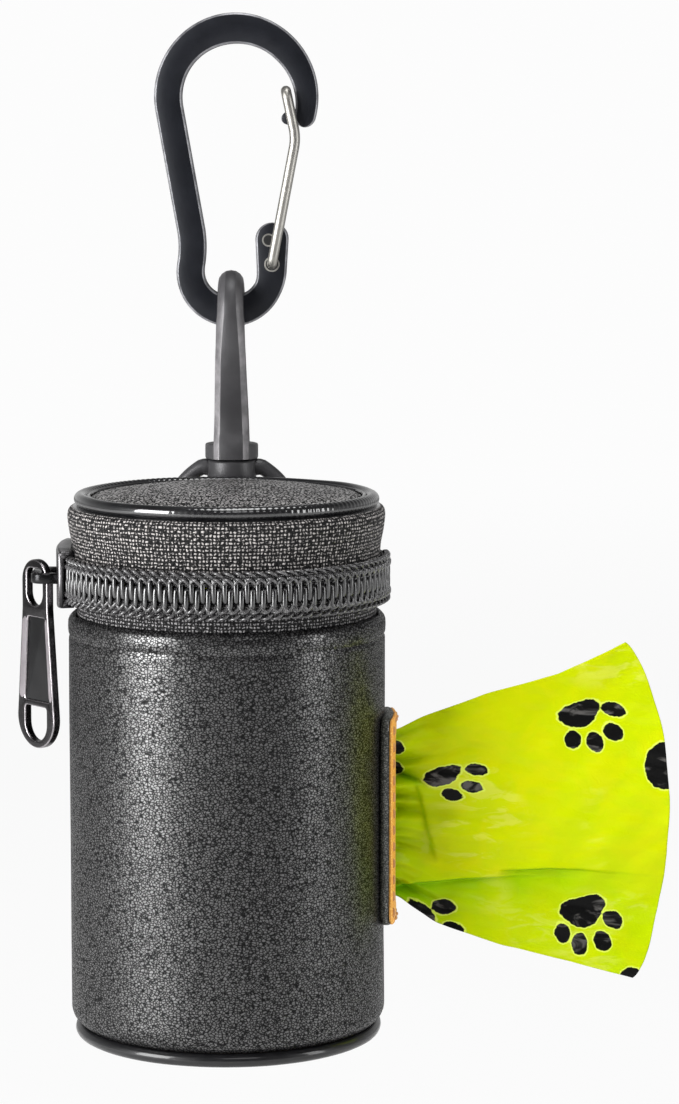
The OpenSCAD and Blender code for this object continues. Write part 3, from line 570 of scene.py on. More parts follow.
def carabiner():
    """The frame: one bar with chamfered edges along the bow, long leg, waist and foot, up to a round tab.
    The bar is thinner at its nose, where its inside is straighter, and a little thicker inwards along the
    bow's top and the foot."""
    lean, drop = math.radians(10), math.radians(15)
    bow, foot_z = 10.15, -25.75
    waist_x = HANG_X - FOOT_R * math.cos(lean)
    leg = (waist_x + bow * math.cos(lean)) / math.sin(lean)
    waist_top = -bow * math.sin(lean) - leg * math.cos(lean)
    waist_low = foot_z + FOOT_R * math.sin(lean)
    waist = (waist_top - waist_low) / (2 * math.sin(lean))
    waist_x -= waist * math.cos(lean)

    def arc(x, z, r, start, stop, count):
        """Points on an upright arc about a middle."""
        a = np.linspace(start, stop, count)
        return points_at(x + r * np.cos(a), 0, z + r * np.sin(a))
    bend = arc(0, 0, bow, -drop, np.pi + lean, 90)
    curve = arc(waist_x, (waist_top + waist_low) / 2, waist, lean, -lean, 12)[1:]
    heel = arc(HANG_X, foot_z, FOOT_R, np.pi - lean, TURN, 56)[1:]
    steps = np.linspace(0, 1, 16)[1:-1, None]
    straight = bend[-1] + (curve[0] - bend[-1]) * steps
    post = heel[-1] + np.array([0.0, 0, 4.9]) * np.linspace(0, 1, 12)[1:, None]
    path = np.concatenate([bend, straight, curve, heel, post])
    width = np.full(len(path), 3.9)
    part = slice(0, len(bend))
    thin = 0.75 * (1 - np.clip(np.linspace(0, 195, len(bend)) / 55, 0, 1)) ** 1.3
    width[part] -= thin
    path[part] += unit(path[part]) * thin[:, None] / 2
    width[part] += 0.45 * np.exp(-((np.linspace(-15, 190, len(bend)) - 95) / 45) ** 2)
    width[-18:] = np.interp(np.arange(18), [0, 9, 17], [3.95, 4.45, 4.9])
    inward = unit(np.cross(np.gradient(path, axis=0), (0, 1, 0)))
    along = np.arange(len(path))
    extra = 0.18 * np.clip(np.minimum(along / 30, (len(path) - 1 - along) / 20), 0, 1)
    part = slice(-len(post) - len(heel), -len(post))
    extra[part] += 0.4 * np.exp(-((np.linspace(170, 360, len(heel)) - 265) / 55) ** 2)
    width += extra
    path = path + inward * extra[:, None] / 2
    a = np.linspace(0, np.pi / 2, 9)[1:]
    nose = path[0] + unit(path[0] - path[1]) * np.sin(a)[::-1, None] * 1.75
    tab = path[-1] + np.array([0, 0, 2.35]) * np.sin(a)[:, None]
    path = np.concatenate([nose, path, tab])
    width = np.concatenate([3.15 * np.cos(a)[::-1], width, 4.9 * np.cos(a)])
    section = np.stack([octagon(w, 3.4 if w > 0.1 else 2.8, 0.3) for w in width])
    side = unit(np.cross(np.gradient(path, axis=0), (0, 1, 0)))
    grid = path[:, None] + section[..., 0:1] * side[:, None] + section[..., 1:2] * np.array([0.0, 1, 0])
    tongue = [(9.2, -1.9), (8.2, -1.9), (7.3, -2.1), (6.65, -2.7), (6.6, -3.5), (7.2, -4.05), (8.2, -4.1),
        (9.2, -4.3)]
    line = bevelled(tongue, 0.4, 4)
    y = np.array([-0.8, -0.8, -0.7, 0.7, 0.8, 0.8])[:, None]
    shrink = np.array([0, 0.86, 1, 1, 0.86, 0])[:, None]
    mid = line.mean(0)
    nub = points_at(mid[0] + (line[:, 0] - mid[0]) * shrink, y, mid[1] + (line[:, 1] - mid[1]) * shrink)
    edge = np.broadcast_to(EDGES, grid.shape[:2])
    made = piece("carabiner_bar", [grid, nub], anodised, sharp=50,
        values={"edge": np.concatenate([edge.ravel(), np.zeros(nub.shape[0] * nub.shape[1])])})
    return dress(made, "carabiner", "anodised_bar", "carabiner_frame")


def gate():
    """The sprung wire: one wire with rounded bends, both ends turned into the boss."""
    out, x = 2.6, HANG_X + FOOT_R
    half = [(x, -0.2, GATE_Z), (x, -out, GATE_Z), (8.75, -out, -6.0), (7.3, -out, 0.9)]
    points = np.array(half + [(p[0], -p[1], p[2]) for p in half[::-1]])
    path = rounded(points, 1.5, 9)
    path, scale = capped(path, 0.4)
    made = piece("gate_wire_bent", [sweep(path, circle(0.75, 16), (1, 0.3, 0.2), scale)], steel)
    return dress(made, "gate", "steel_wire", "gate_wire")


def gate_holes():
    """The polished rims of the tab's two holes that the wire's ends go into, and dark discs flush with the
    tab's faces inside them: painted shade for the holes' depth.
    """
    rims, shade_discs = [], []
    a = np.linspace(0, TURN, 33)[:, None]
    for side in (-1, 1):
        for x, z, r in ((HANG_X + FOOT_R, GATE_Z, 0.92), (HANG_X + 5.6, -21.0, 0.74)):
            rim = [(r - 0.02, 1.62), (r, 1.705), (r + 0.1, 1.72), (r + 0.22, 1.7), (r + 0.24, 1.6)]
            # The dark disc across each hole at the face is painted shade where the hole's depth would be.
            floor = [(0.0, 1.706), (r * 0.5, 1.706), (r, 1.706)]
            for profile, grids in ((rim, rims), (floor, shade_discs)):
                radius, out = np.array(profile).T
                grids.append(points_at(x + radius * np.cos(a), side * out, z + radius * np.sin(a)))
    dress(piece("gate_hole_rims", rims, steel), "carabiner", "anodised_bar")
    dress(piece("gate_hole_shade_discs", shade_discs, rivet_metal), "carabiner", "anodised_bar")


# ---------------------------------------------------------------- snap hook and loop
def hook():
    """The snap hook: a chamfered bar that forks over the collar, runs up the spine and round the eye to
    the nose, and two cheeks for the latch."""
    spine = [(0.0, COLLAR_LOW - BAR_Z + 0.12), (0.0, -19.5), (-0.1, -17.2), (-0.9, -14.6), (-2.6, -11.0),
        (-4.0, -7.4), (-4.55, -4.0)]
    shank = spline(spine + [(-4.6, -1.0)], 24)
    turn = np.radians(np.linspace(180, -22, 40))
    path = np.concatenate([shank, points_at(4.6 * np.cos(turn), 4.6 * np.sin(turn))])
    z, eye = path[:, 1], slice(len(shank), None)
    depth = np.interp(z, [-21.5, -19.5, -16.5, -14.0, -10, -6.5], [8.3, 8.1, 6.2, 5.0, 3.9, 3.5])
    width = np.interp(z, [-19.4, 6.3], [5.25, 3.75])
    depth[eye], width[eye] = 3.5, np.interp(z[eye], [-1, 6.3], [4.05, 3.7])
    round_top = np.clip((z + 6) / 9, 0, 1)
    section = np.stack([octagon(w, d, 0.85 + 0.25 * k, k) for w, d, k in zip(width, depth, round_top)])
    path = points_at(0, path[:, 0], path[:, 1]) + [HANG_X, 0, BAR_Z]
    along = unit(np.gradient(path, axis=0))
    a = np.linspace(0, np.pi / 2, 5)[1:]
    nose = path[-1] + along[-1] * 0.5 * np.sin(a)[:, None]
    path = np.concatenate([path, nose])
    section = np.concatenate([section, section[-1] * np.cos(a)[:, None, None] ** 0.5])
    grid = sweep(path, section, (1, 0, 0))
    edge = EDGES * (1 - 0.8 * np.append(round_top, [0] * len(nose))[:, None])
    collar = revolve(bevelled([(0, COLLAR_TOP), (3.95, COLLAR_TOP), (3.95, COLLAR_LOW), (0, COLLAR_LOW)], 0.3)
        [1:-1], 64, (HANG_X, 0))
    cheeks = []
    out = rounded([(0.4, -19.45), (3.5, -19.45), (4.6, -16.2), (3.9, -14.4), (0.4, -14.2), (0.4, -19.45)],
        1.1, 5)
    size = np.array([0, 0.93, 1, 1, 0.93, 0])[:, None, None]
    outline = out.mean(0) + (out - out.mean(0)) * size
    low, high = 1.6, 2.45
    for side in (-1, 1):
        x = side * np.array([low, low, low + 0.1, high - 0.1, high, high])[:, None]
        cheeks.append(points_at(HANG_X + x, outline[..., 0], outline[..., 1] + BAR_Z))
    rest = sum(g.shape[0] * g.shape[1] for g in [collar] + cheeks)
    made = piece("hook_bar", [grid, collar] + cheeks, cast, sharp=50,
        values={"edge": np.concatenate([edge.ravel(), np.zeros(rest)])})
    return dress(made, "hook", "cast_metal", "hook_body")


def loop():
    """The D-shaped loop: a round bar along the arc and its chord, and the boss under the hook's collar."""
    radius = 9.4
    rise = math.asin((LOOP_BAR_Z - LOOP_Z) / radius)
    a = np.linspace(rise, np.pi - rise, 60)
    arc = points_at(radius * np.cos(a), 0, LOOP_Z + radius * np.sin(a))
    path = np.concatenate([arc, rounded(np.concatenate([arc[-2:], arc[:2]]), 1.2, 6)[1:-1], arc[:1]])
    path = path + [HANG_X, 0, 0]
    above = path[:, 2] > LOOP_BAR_Z + 1
    swell = 1 + 0.18 * np.exp(-((np.abs(path[:, 0] - HANG_X) - 3.4) / 1.5) ** 2) * above
    path[:, 2] = np.where(above, np.minimum(path[:, 2], BOSS_TOP - 1.15), path[:, 2])
    bar = sweep(path, circle(1.1, 14), (0, 1, 0), swell)
    boss = revolve(closed([(1.72, BOSS_LOW), (3.3, BOSS_LOW), (3.6, BOSS_LOW + 0.12), (3.68, BOSS_LOW + 0.4),
        (3.68, BOSS_TOP - 0.35), (3.58, BOSS_TOP - 0.1), (3.3, BOSS_TOP), (1.72, BOSS_TOP)]), 64, (HANG_X, 0))
    made = piece("d_loop", [bar, boss], cast, sharp=50)
    return dress(made, "loop", "cast_metal", "swivel_loop")


# ---------------------------------------------------------------- lid
def lid():
    """The lid's leather, a flat dome with a turned-down edge, its piping with a welt inside it and the
    band's hem under it, and its padding."""
    dome, middle = 103.079, -157.629

    def domed(r):
        """The height of a sphere about the axis."""
        return middle + np.sqrt(dome ** 2 - r ** 2)
    r = np.concatenate([np.linspace(0, 18.2, 34), np.linspace(18.5, 19.72, 8)])
    height = domed(r) - 0.55 * np.clip((r - 18.4) / 1.3, 0, 1) ** 2
    azimuth = np.radians(np.linspace(0, 360, 241))[:, None]
    slack = ripple(3 * np.cos(azimuth) * r / 20, 3 * np.sin(azimuth) * r / 20, 3, 0.25)
    gathers = 0.07 * np.sin(61 * azimuth) * np.clip((r - 17.5) / 2, 0, 1)
    top = around(azimuth, r, height + slack * np.clip(1 - r / 19, 0, 1) + gathers)
    bottom = around(azimuth, r[::-1], np.maximum(height - 1.1, PIPING_Z - 1.2)[::-1])
    shell = piece("lid_crown", [np.concatenate([top, bottom], 1)], crown_leather, sharp=55)
    dress(shell, "lid", "black_leather", "lid_leather")

    a = np.linspace(0, TURN, 1201)

    def uneven(waves, seed, amount):
        """Slow unevenness round the ring."""
        return ripple(np.cos(a) * waves, np.sin(a) * waves, seed, amount)
    path = around(a, 20.75 + uneven(4, 8, 0.12), PIPING_Z + uneven(3, 4, 0.16))
    dents = np.sin(150 * a) * np.clip(0.5 + 0.6 * np.sin(2 * a + 3.34), 0, 1)
    swell = 0.96 + 0.022 * dents + uneven(9, 5, 0.03)
    cord = sweep(path, circle(1.0, 20), (0, 0, 1), swell)
    hem = closed([(19.5, PIPING_Z - 0.95), (19.5, PIPING_Z - 0.62), (21.2, PIPING_Z - 0.78),
        (21.9, PIPING_Z - 1.0), (21.8, PIPING_Z - 1.3), (20.6, PIPING_Z - 1.28)])
    welt = around(a, 19.62, PIPING_Z + 0.42 + uneven(5, 9, 0.1))
    welt = sweep(welt, circle(0.26, 8), (0, 0, 1), 1 + uneven(14, 10, 0.2))
    trim = piece("lid_piping_cord", [cord, welt, revolve(hem, 240)], piping_leather)
    dress(trim, "lid", "piping", "lid_piping")

    r = np.linspace(0, 19.1, 24)
    top = domed(r) - 1.2 - 0.2 * (r / 19.1) ** 6
    low = np.full(len(r), PIPING_Z - 1.28)
    profile = points_at(np.concatenate([r, r[::-1]]), np.concatenate([np.maximum(top, low + 0.02), low]))
    pad = piece("lid_pad", [revolve(profile, 120)], padding)
    dress(pad, "lid", "padding", "lid_padding")


# ---------------------------------------------------------------- zip
def band():
    """The zip's tapes: above, a woven ring that bulges under the piping and narrows to the teeth; below, a
    plain ring. Round the back, where there are no teeth, they reach towards each other. The lid's lining is
    a flat disc with a short skirt."""
    hem = PIPING_Z - 1.0 - ZIP_Z
    line = spline([(21.88, 1.1), (21.9, 2.0), (21.92, 3.2), (22.0, 4.6), (22.2, 5.6), (22.42, 6.6),
        (22.58, 7.6), (22.66, 8.4), (22.66, 9.0), (22.58, 9.4), (22.42, 9.75), (22.0, hem - 0.05),
        (21.3, hem + 0.1)], 36)
    line[:, 1] += ZIP_Z
    azimuth = np.radians(np.linspace(0, 360, 361))[:, None]
    soft = np.clip((line[:, 1] - ZIP_Z - 4) / 4, 0, 1)
    wave = ripple(np.cos(azimuth) * 4, np.sin(azimuth) * 4 + line[:, 1] * 0.25, 12, 0.22) * soft
    back, spread, fade = 93, 86, 6
    reach = 0.95 * np.clip((spread - np.abs(np.degrees(azimuth) - back)) / fade, 0, 1)
    drop = reach * np.clip((ZIP_Z + 3.2 - line[:, 1]) / 2.1, 0, 1)
    grid = around(azimuth, line[:, 0] + wave, line[:, 1] - drop)
    sheet = piece("lid_band", [grid], band_cloth, sharp=80)
    solid(sheet, 0.48)
    dress(sheet, "lid", "zip_tape", "zip_tape_upper")

    z = np.linspace(LEATHER_TOP - 2.8, ZIP_Z - 1.1, 12)
    r = np.array([21.38] * 8 + [21.4, 21.42, 21.42, 21.4])
    z = z + reach * np.clip((z - ZIP_Z + 3.2) / 2.1, 0, 1)
    sheet = piece("pouch_tape", [around(azimuth, r, z)], tape_cloth, sharp=80)
    solid(sheet, 0.45)
    dress(sheet, "pouch", "zip_tape", "zip_tape_lower")

    z = np.concatenate([np.linspace(ZIP_Z + 5.1, ZIP_Z + 8.35, 10), [ZIP_Z + 8.45] * 3])
    r = np.array([21.32] * 10 + [21.0, 12.0, 0.0])
    skirt = piece("lid_lining_skirt", [around(azimuth, r, z)], lining_cloth, sharp=80)
    solid(skirt, 0.35)
    dress(skirt, "lid", "lining", "lid_lining")


# One tooth's step round the pouch in degrees, the azimuth of the first, how many a row has, and the share of
# a step that each row is shifted by.
STEP = math.degrees(1.55 / 23.4)
FIRST = 176
LOOPS = 51
SHIFT = {1: 0.0, -1: 0.5}


def coil(up):
    """A row of nylon teeth: a flattened coil, each turn a bar up the outer face, a nose at the middle of
    the zip and a slanting return behind it."""
    steps = 40
    t = np.arange(LOOPS * steps + 1) / steps
    phase = t * TURN
    root, nose = 2.35, -0.85
    height = (root + nose) / 2 + (root - nose) / 2 * np.cos(phase) * (1 - 0.1 * np.cos(phase) ** 2) / 0.9
    out = 22.62 + 0.42 * np.sin(phase) * (1.2 - 0.2 * np.sin(phase) ** 2)
    slide = np.floor(t) + np.interp(t % 1, [0, 0.5, 1], [0, 0.08, 1.0])
    azimuth = np.radians(FIRST + (slide + SHIFT[up]) * STEP)
    path = around(azimuth, out, ZIP_Z + up * height)
    side = around(azimuth + 0.01, out, ZIP_Z) - around(azimuth, out, ZIP_Z)
    head = 1 + 0.12 * np.exp(-((height - nose) / 0.45) ** 2)
    path, scale = capped(path, 0.3, 3)
    side = np.concatenate([side[:1]] * 3 + [side] + [side[-1:]] * 3)
    head = np.concatenate([[1] * 3, head, [1] * 3])
    return sweep(path, soft_box(0.72, 0.62, 0.27), side, scale * head)


def seam(up):
    """Sewing over the coil's root: for each tooth a long glossy loop of thread that slants outwards, and two
    short ones under it that cross the tooth. Each arches outwards by a power of the sine along it."""
    t = np.linspace(0, 1, 11)
    tooth = np.arange(LOOPS)[:, None] + SHIFT[up]
    arch = np.sin(np.pi * t)
    threads = ((-0.1, 1.15, 3.2, 2.35, 22.45, 0.75, 0.22), (0.0, 0.95, 2.35, 1.3, 22.78, 0.5, 0.24),
        (0.5, -0.75, 2.3, 1.25, 22.78, 0.5, 0.22))
    grids = []
    for first, span, high, low, root, lift, thick in threads:
        azimuth = np.radians(FIRST + (tooth + first + span * t) * STEP)
        z = ZIP_Z + up * (high + (low - high) * t ** 1.5 + 0.12 * arch)
        path = around(azimuth, root + lift * arch ** 0.7, z)
        grids.append(sweep(path, circle(thick, 6), (0, 0, 1.0)))
    return grids


def teeth():
    """Both rows of teeth with their sewing."""
    for up, body, node in ((1, "lid", "zip_teeth_upper"), (-1, "pouch", "zip_teeth_lower")):
        made = piece(f"zip_coil_{body}", [coil(up)], nylon, sharp=70)
        dress(made, body, "zip_teeth", node)
        core = np.radians(np.linspace(175.5, 373, 260))
        path = around(core, 22.5, ZIP_Z + up * 2.15)
        path, scale = capped(path, 0.3, 3)
        cord = sweep(path, circle(1.0, 12) * [0.95, 0.5], (0, 0, 1), scale)
        dress(piece(f"zip_root_{body}", [cord], tape_cloth, sharp=70), body, "zip_tape")
        made = piece(f"zip_sewing_{body}", seam(up), thread, sharp=70)
        dress(made, body, "zip_tape")


def slider():
    """The slider: an outer and an inner plate with turned edges, a wedge, and the crown for the pull."""
    a = np.radians(np.linspace(166, 194, 29))
    taper = np.interp(np.degrees(a), [166, 172, 188, 194], [1.0, 1.0, 0.93, 0.86])
    half, flange = 4.65, 1.4
    skins = []
    side = [(23.55, half - flange), (22.1, half - flange), (22.1, half), (24.0, half), (24.3, half - 0.35)]
    outer = [(23.55, -half + flange)] + side + [(r, -z) for r, z in side[:0:-1]]
    inner = [(20.3, -half + 0.2), (19.8, -half), (19.8, half), (20.3, half - 0.2)]
    for profile, edge in ((outer, 0.16), (inner, 0.12)):
        line = bevelled(profile, edge, 3)
        skins.append(around(a[:, None], line[:, 0], ZIP_Z + line[:, 1] * taper[:, None]))
    lit = [np.broadcast_to(np.arange(g.shape[1]) % 3 == 1, g.shape[:2]).ravel() for g in skins]
    made = piece("slider_plates", skins, slider_metal, sharp=35,
        values={"edge": np.concatenate(lit).astype(float)})
    cap_ends(made)
    dress(made, "slider", "slider_metal", "slider_body")
    wedge = [(19.9, -0.8), (23.7, -0.8), (23.7, 0.8), (19.9, 0.8)]
    line = bevelled(wedge, 0.15, 3)
    a = np.radians(np.linspace(166.3, 171.5, 6))[:, None]
    grid = around(a, line[:, 0], ZIP_Z + line[:, 1] * np.interp(np.degrees(a), [168, 171.5], [1, 0.4]))
    made = piece("slider_wedge", [grid], slider_metal)
    cap_ends(made)
    dress(made, "slider", "slider_metal")

    half = 3.6
    points = [(23.9, -half), (CROWN_R, -half), (CROWN_R, half), (23.9, half)]
    line = rounded(np.array(points, float), 1.15, 8)
    path = points_at(AXIS[0] - line[:, 0], AXIS[1] - line[:, 1], ZIP_Z)
    bridge = sweep(path, soft_box(1.5, 1.45, 0.3, 3), (0, 0, 1))
    made = piece("slider_bridge", [bridge], slider_metal, sharp=60)
    cap_ends(made)
    dress(made, "slider", "slider_metal", "slider_crown")


def cap_ends(made):
    """Closes the open ends of a swept piece with faces, and turns its faces outwards."""
    work = bmesh.new()
    work.from_mesh(made.data)
    bmesh.ops.holes_fill(work, edges=[e for e in work.edges if e.is_boundary], sides=0)
    bmesh.ops.recalc_face_normals(work, faces=work.faces)
    work.to_mesh(made.data)
    work.free()


def arc_points(x, y, r, start, stop, count):
    """Points on an arc about a middle, from one angle to another in degrees."""
    a = np.radians(np.linspace(start, stop, count))
    return points_at(x + r * np.cos(a), y + r * np.sin(a))


def pull():
    """The pull: a long plate with an eye and a lower opening, a sunk panel, bevelled rims, and a bright
    facet on each side of the panel."""
    top, length, width, eye, neck = 2.3, 27.3, 9.0, 3.1, -4.75
    bottom = top - length
    low = bottom + width / 2
    turn = math.radians(40)

    def outline(inset):
        """The plate's edge: an arc above and one below, with straight sides between them."""
        return np.concatenate([arc_points(0, top - eye, eye - inset, 0, 180, 28), [[-eye + inset, neck]],
            arc_points(0, low, width / 2 - inset, 180, 360, 36), [[eye - inset, neck]]])

    def opening(r, lower, upper, corner):
        """A hole that is half round below and has soft corners above."""
        return np.concatenate([arc_points(0, lower + r, r, 180, 360, 28), rounded(np.array(
            [[r, lower + r], [r, upper], [-r, upper], [-r, lower + r]]), corner, 5)[1:-1]])

    def place(p):
        """Turns the plate about the upright line that it hangs on."""
        across, up, out = p.T
        x = -(CROWN_R - across * math.sin(turn) + out * math.cos(turn))
        y = -(across * math.cos(turn) + out * math.sin(turn))
        return points_at(AXIS[0] + x, AXIS[1] + y, ZIP_Z + up)
    eye_hole = opening(1.9, -4.4, 1.0, 0.9)
    low_hole = opening(2.6, bottom + 1.05, bottom + 6.05, 0.5)
    panel_low, panel_high = bottom + 6.95, -6.05
    panel = rounded(np.array([[0, panel_low], [3.25, panel_low], [2.35, panel_high], [-1.75, panel_high],
        [-2.6, panel_low], [0, panel_low]]), 0.3, 4)[:-1]

    rim = plate("pull_rim", [outline(0), eye_hole, low_hole, panel], 1.2, 0.22, rim_metal, place)
    up = np.linspace(panel_low + 0.1, panel_high - 0.1, 24)
    ends = np.clip(np.minimum(up - up[0], up[-1] - up) / 0.5, 0.3, 1)
    facets = []
    for side, inner in ((-1, (2.6, 1.75)), (1, (3.25, 2.35))):
        outer = np.interp(up, [low, neck], [width / 2, eye]) - 0.25
        inside = np.interp(up, [panel_low, panel_high], inner) + 0.06
        middle, half = (outer + inside) / 2, (outer - inside) / 2 * ends
        facets.append(np.array([place(points_at(side * (middle + half * k), up, out)) for k, out in
            ((-1, 0.58), (-0.95, 0.612), (0.0, 0.63), (0.95, 0.612), (1, 0.58))]))
    dress(piece("pull_facets", facets, facet_metal), "pull", "slider_metal")
    wider = [opening(2.05, -4.55, 1.1, 0.9), opening(2.8, bottom + 0.9, bottom + 6.2, 0.5)]
    floor = plate("pull_panel", [outline(0.5)] + wider, 0.72, 0.04, slider_metal, place)
    dress(rim, "pull", "slider_metal", "pull_tab")
    dress(floor, "pull", "slider_metal")


# ---------------------------------------------------------------- pouch
def slot_half(z, extra=0.0):
    """Half the slot's width at a height: a long hole with round ends."""
    h, w = SLOT_HALF + extra, SLOT_END + extra
    rise = np.abs(z - SLOT_Z)
    return np.where(rise < h - w, w, np.sqrt(np.maximum(w * w - (rise - h + w) ** 2, 0)) * (rise < h))


def wall(name, radius, z, finish, thickness, count, seed=None, extra=0.0, tucks=None):
    """A ring wall whose azimuth runs from the slot's one edge round to its other. Above and below the slot
    the edges meet. radius is an array for the heights z. A seed adds a slow unevenness that fades at both
    ends, and tucks is a function of the azimuth that adds to the radius."""
    half = slot_half(z, extra)[None, :] / radius[None, :]
    s = np.linspace(0, 1, count)[:, None]
    azimuth = half + s * (TURN - 2 * half)
    r = radius[None, :] + 0 * azimuth
    if seed is not None:
        r = r + ripple(np.cos(azimuth) * 3, np.sin(azimuth) * 3 + z * 0.05, seed, 0.3) * np.clip(
            (LEATHER_TOP - z) / 12, 0, 1) * np.clip((z - LEATHER_LOW) / 12, 0, 1)
    if tucks is not None:
        r = r + tucks(azimuth)
    flat = points_at(azimuth / TURN, (z - LEATHER_LOW) / (LEATHER_TOP - LEATHER_LOW))
    made = piece(name, [around(azimuth, r, z)], finish, [flat], sharp=60)
    return solid(made, thickness)


def wall_heights(low, high, count):
    """Heights from low to high, closer together at the slot's ends."""
    ends = SLOT_HALF - SLOT_END * (1 - np.cos(np.linspace(0, np.pi / 2, 9)))
    z = np.concatenate([np.linspace(low, high, count), SLOT_Z + ends, SLOT_Z - ends])
    return np.unique(np.round(z, 4))


def pouch():
    """The pouch's leather wall with its turned hem, and what lies inside it."""
    at_top = np.array([0, 0.1, 0.3, 0.6, 1.0, 1.8, 2.4, 2.75, 2.95, 3.1, 3.25, 3.45, 3.8, 4.4])
    at_foot = np.array([0, 0.2, 0.5, 0.9, 1.4, 2.1])
    z = np.unique(np.concatenate([wall_heights(LEATHER_LOW + 3, LEATHER_TOP - 5, 64), LEATHER_TOP - at_top,
        LEATHER_LOW + at_foot]))
    drop, lift = LEATHER_TOP - z, z - LEATHER_LOW
    groove = 3.1
    r = 22.6 - 0.7 * np.clip(1 - drop / 1.1, 0, 1) ** 2.2 - 1.25 * np.clip(1 - lift / 2.2, 0, 1) ** 2.2
    r += 0.1 * np.exp(-((drop - 1.7) / 1.1) ** 2) - 0.2 * np.exp(-((drop - groove) / 0.28) ** 2)

    def tucks(azimuth):
        """Puckers at the groove and gathers at the foot: sines of the azimuth that fade with height."""
        pucker = np.sin(azimuth * 88 + 2 * np.sin(azimuth * 3)) * np.exp(-(drop - groove) ** 2 / 0.3) * 0.03
        return pucker + 0.07 * np.sin(azimuth * 70) * np.exp(-(lift / 1.4) ** 2)
    made = wall("pouch_leather", r, z, black_leather, 1.05, 400, seed=21, tucks=tucks)
    dress(made, "pouch", "black_leather", "body_leather")
    z = wall_heights(LEATHER_LOW + 0.4, LEATHER_TOP - 2.85, 24)
    made = wall("pouch_board", 21.4 + 0 * z, z, stiffener, 0.45, 120, extra=0.3)
    dress(made, "pouch", "stiffener", "body_board")
    z = wall_heights(LEATHER_LOW + 0.4, ZIP_Z - 5.0, 30)
    made = wall("pouch_lining", 20.85 + 0 * z, z, lining_cloth, 0.4, 120, extra=0.3)
    dress(made, "pouch", "lining", "body_lining")


def base():
    """The bottom's leather disc, which bulges a little, and its glossy piping."""
    r = np.linspace(0, 20.0, 30)
    low = BASE_Z - 0.5 - 0.2 * (1 - (r / 20) ** 4)
    high = np.full(len(r), BASE_Z + 0.68)
    disc = points_at(np.concatenate([r, [20.05], r[::-1]]), np.concatenate([low, [BASE_Z + 0.1], high]))
    made = piece("base_disc", [revolve(disc, 160)], black_leather, sharp=50)
    dress(made, "pouch", "black_leather", "base_leather")
    a = np.linspace(0, TURN, 541)
    path = around(a, 21.1 + ripple(np.cos(a) * 4, np.sin(a) * 4, 31, 0.1),
        BASE_Z + ripple(np.cos(a) * 3, np.sin(a) * 3, 6, 0.1))
    swell = 0.98 + ripple(np.cos(a) * 9, np.sin(a) * 9, 7, 0.03)
    made = piece("base_piping_cord", [sweep(path, circle(1.0, 20), (0, 0, 1), swell)], base_trim)
    dress(made, "pouch", "piping", "base_piping")


def patch_layer(name, inner, outer, finish, slot, node, grow=0.0):
    """A curved plate round the slot: a closed profile from the slot's edge to the patch's edge and back,
    carried round. The slot's edge is a long hole. The patch's edge goes across and up by the cosine and
    sine of the turn to the power 0.16, which is a rectangle with round corners laid on the wall."""
    a = np.linspace(0, TURN, 145)
    c, s = np.cos(a), np.sin(a)
    steep = np.clip(np.abs(s) * 6, 0, 1)
    hole_y = SLOT_END * np.where(steep < 1, np.sign(c), c)
    hole_z = SLOT_END * s + (SLOT_HALF - SLOT_END) * np.sign(s) * steep
    edge_y = (6.05 + grow) * np.sign(c) * np.abs(c) ** 0.16
    edge_z = (15.0 + grow) * np.sign(s) * np.abs(s) ** 0.16
    share = np.array([0.0, 0.0, 0.03, 0.5, 0.95, 1.0, 1.0, 0.95, 0.5, 0.03, 0.0])
    rise = np.array([0.2, 0.8, 1.0, 1.0, 1.0, 0.75, 0.25, 0.0, 0.0, 0.0, 0.2])
    y = hole_y[:, None] + (edge_y - hole_y)[:, None] * share
    z = hole_z[:, None] + (edge_z - hole_z)[:, None] * share
    lift = ripple(a * 2, a, 41, 0.08)[:, None] * share
    grid = around(y / 23.5, inner + (outer - inner) * rise + lift, SLOT_Z + z)
    made = piece(name, [grid], finish, sharp=60)
    return dress(made, "pouch", slot, node)


def stitch_row(azimuths, heights, radius, length, upright, thick=0.24):
    """Single stitches: short capsules that dip into the leather at both ends."""
    t = np.linspace(-1, 1, 9)
    dip = 0.28 * np.abs(t) ** 3
    azimuths, heights = np.asarray(azimuths)[:, None], np.asarray(heights)[:, None]
    along = t * length / 2
    if upright:
        path = around(azimuths, radius - dip, heights + along)
    else:
        path = around(azimuths + along / radius, radius - dip, heights)
    scale = np.array([0.0, 0.75, 1, 1, 1, 1, 1, 0.75, 0.0])
    return sweep(path, circle(thick, 8), (0.5, 1, 0) if upright else (0.3, 0.2, 1), scale)


def patch():
    """The slot's dark backing, tan face and stitches."""
    patch_layer("patch_backing", 22.62, 23.86, backing_leather, "black_leather", "slot_patch_backing", 0.12)
    patch_layer("patch_face", 23.88, FACE_R, tan, "tan_leather", "slot_patch_face")
    z = np.linspace(-13.2, 13.2, 12) + SLOT_Z
    across = np.radians([-6.5, 0, 6.5])
    radius, length = FACE_R + 0.06, 1.6
    grids = [stitch_row([s * 0.203] * 12, z, radius, length, True) for s in (-1, 1)]
    grids += [stitch_row(across, [SLOT_Z + s * 14.45] * 3, radius, length, False) for s in (-1, 1)]
    made = piece("patch_stitches", grids, tan_thread)
    dress(made, "pouch", "tan_thread", "slot_stitches")


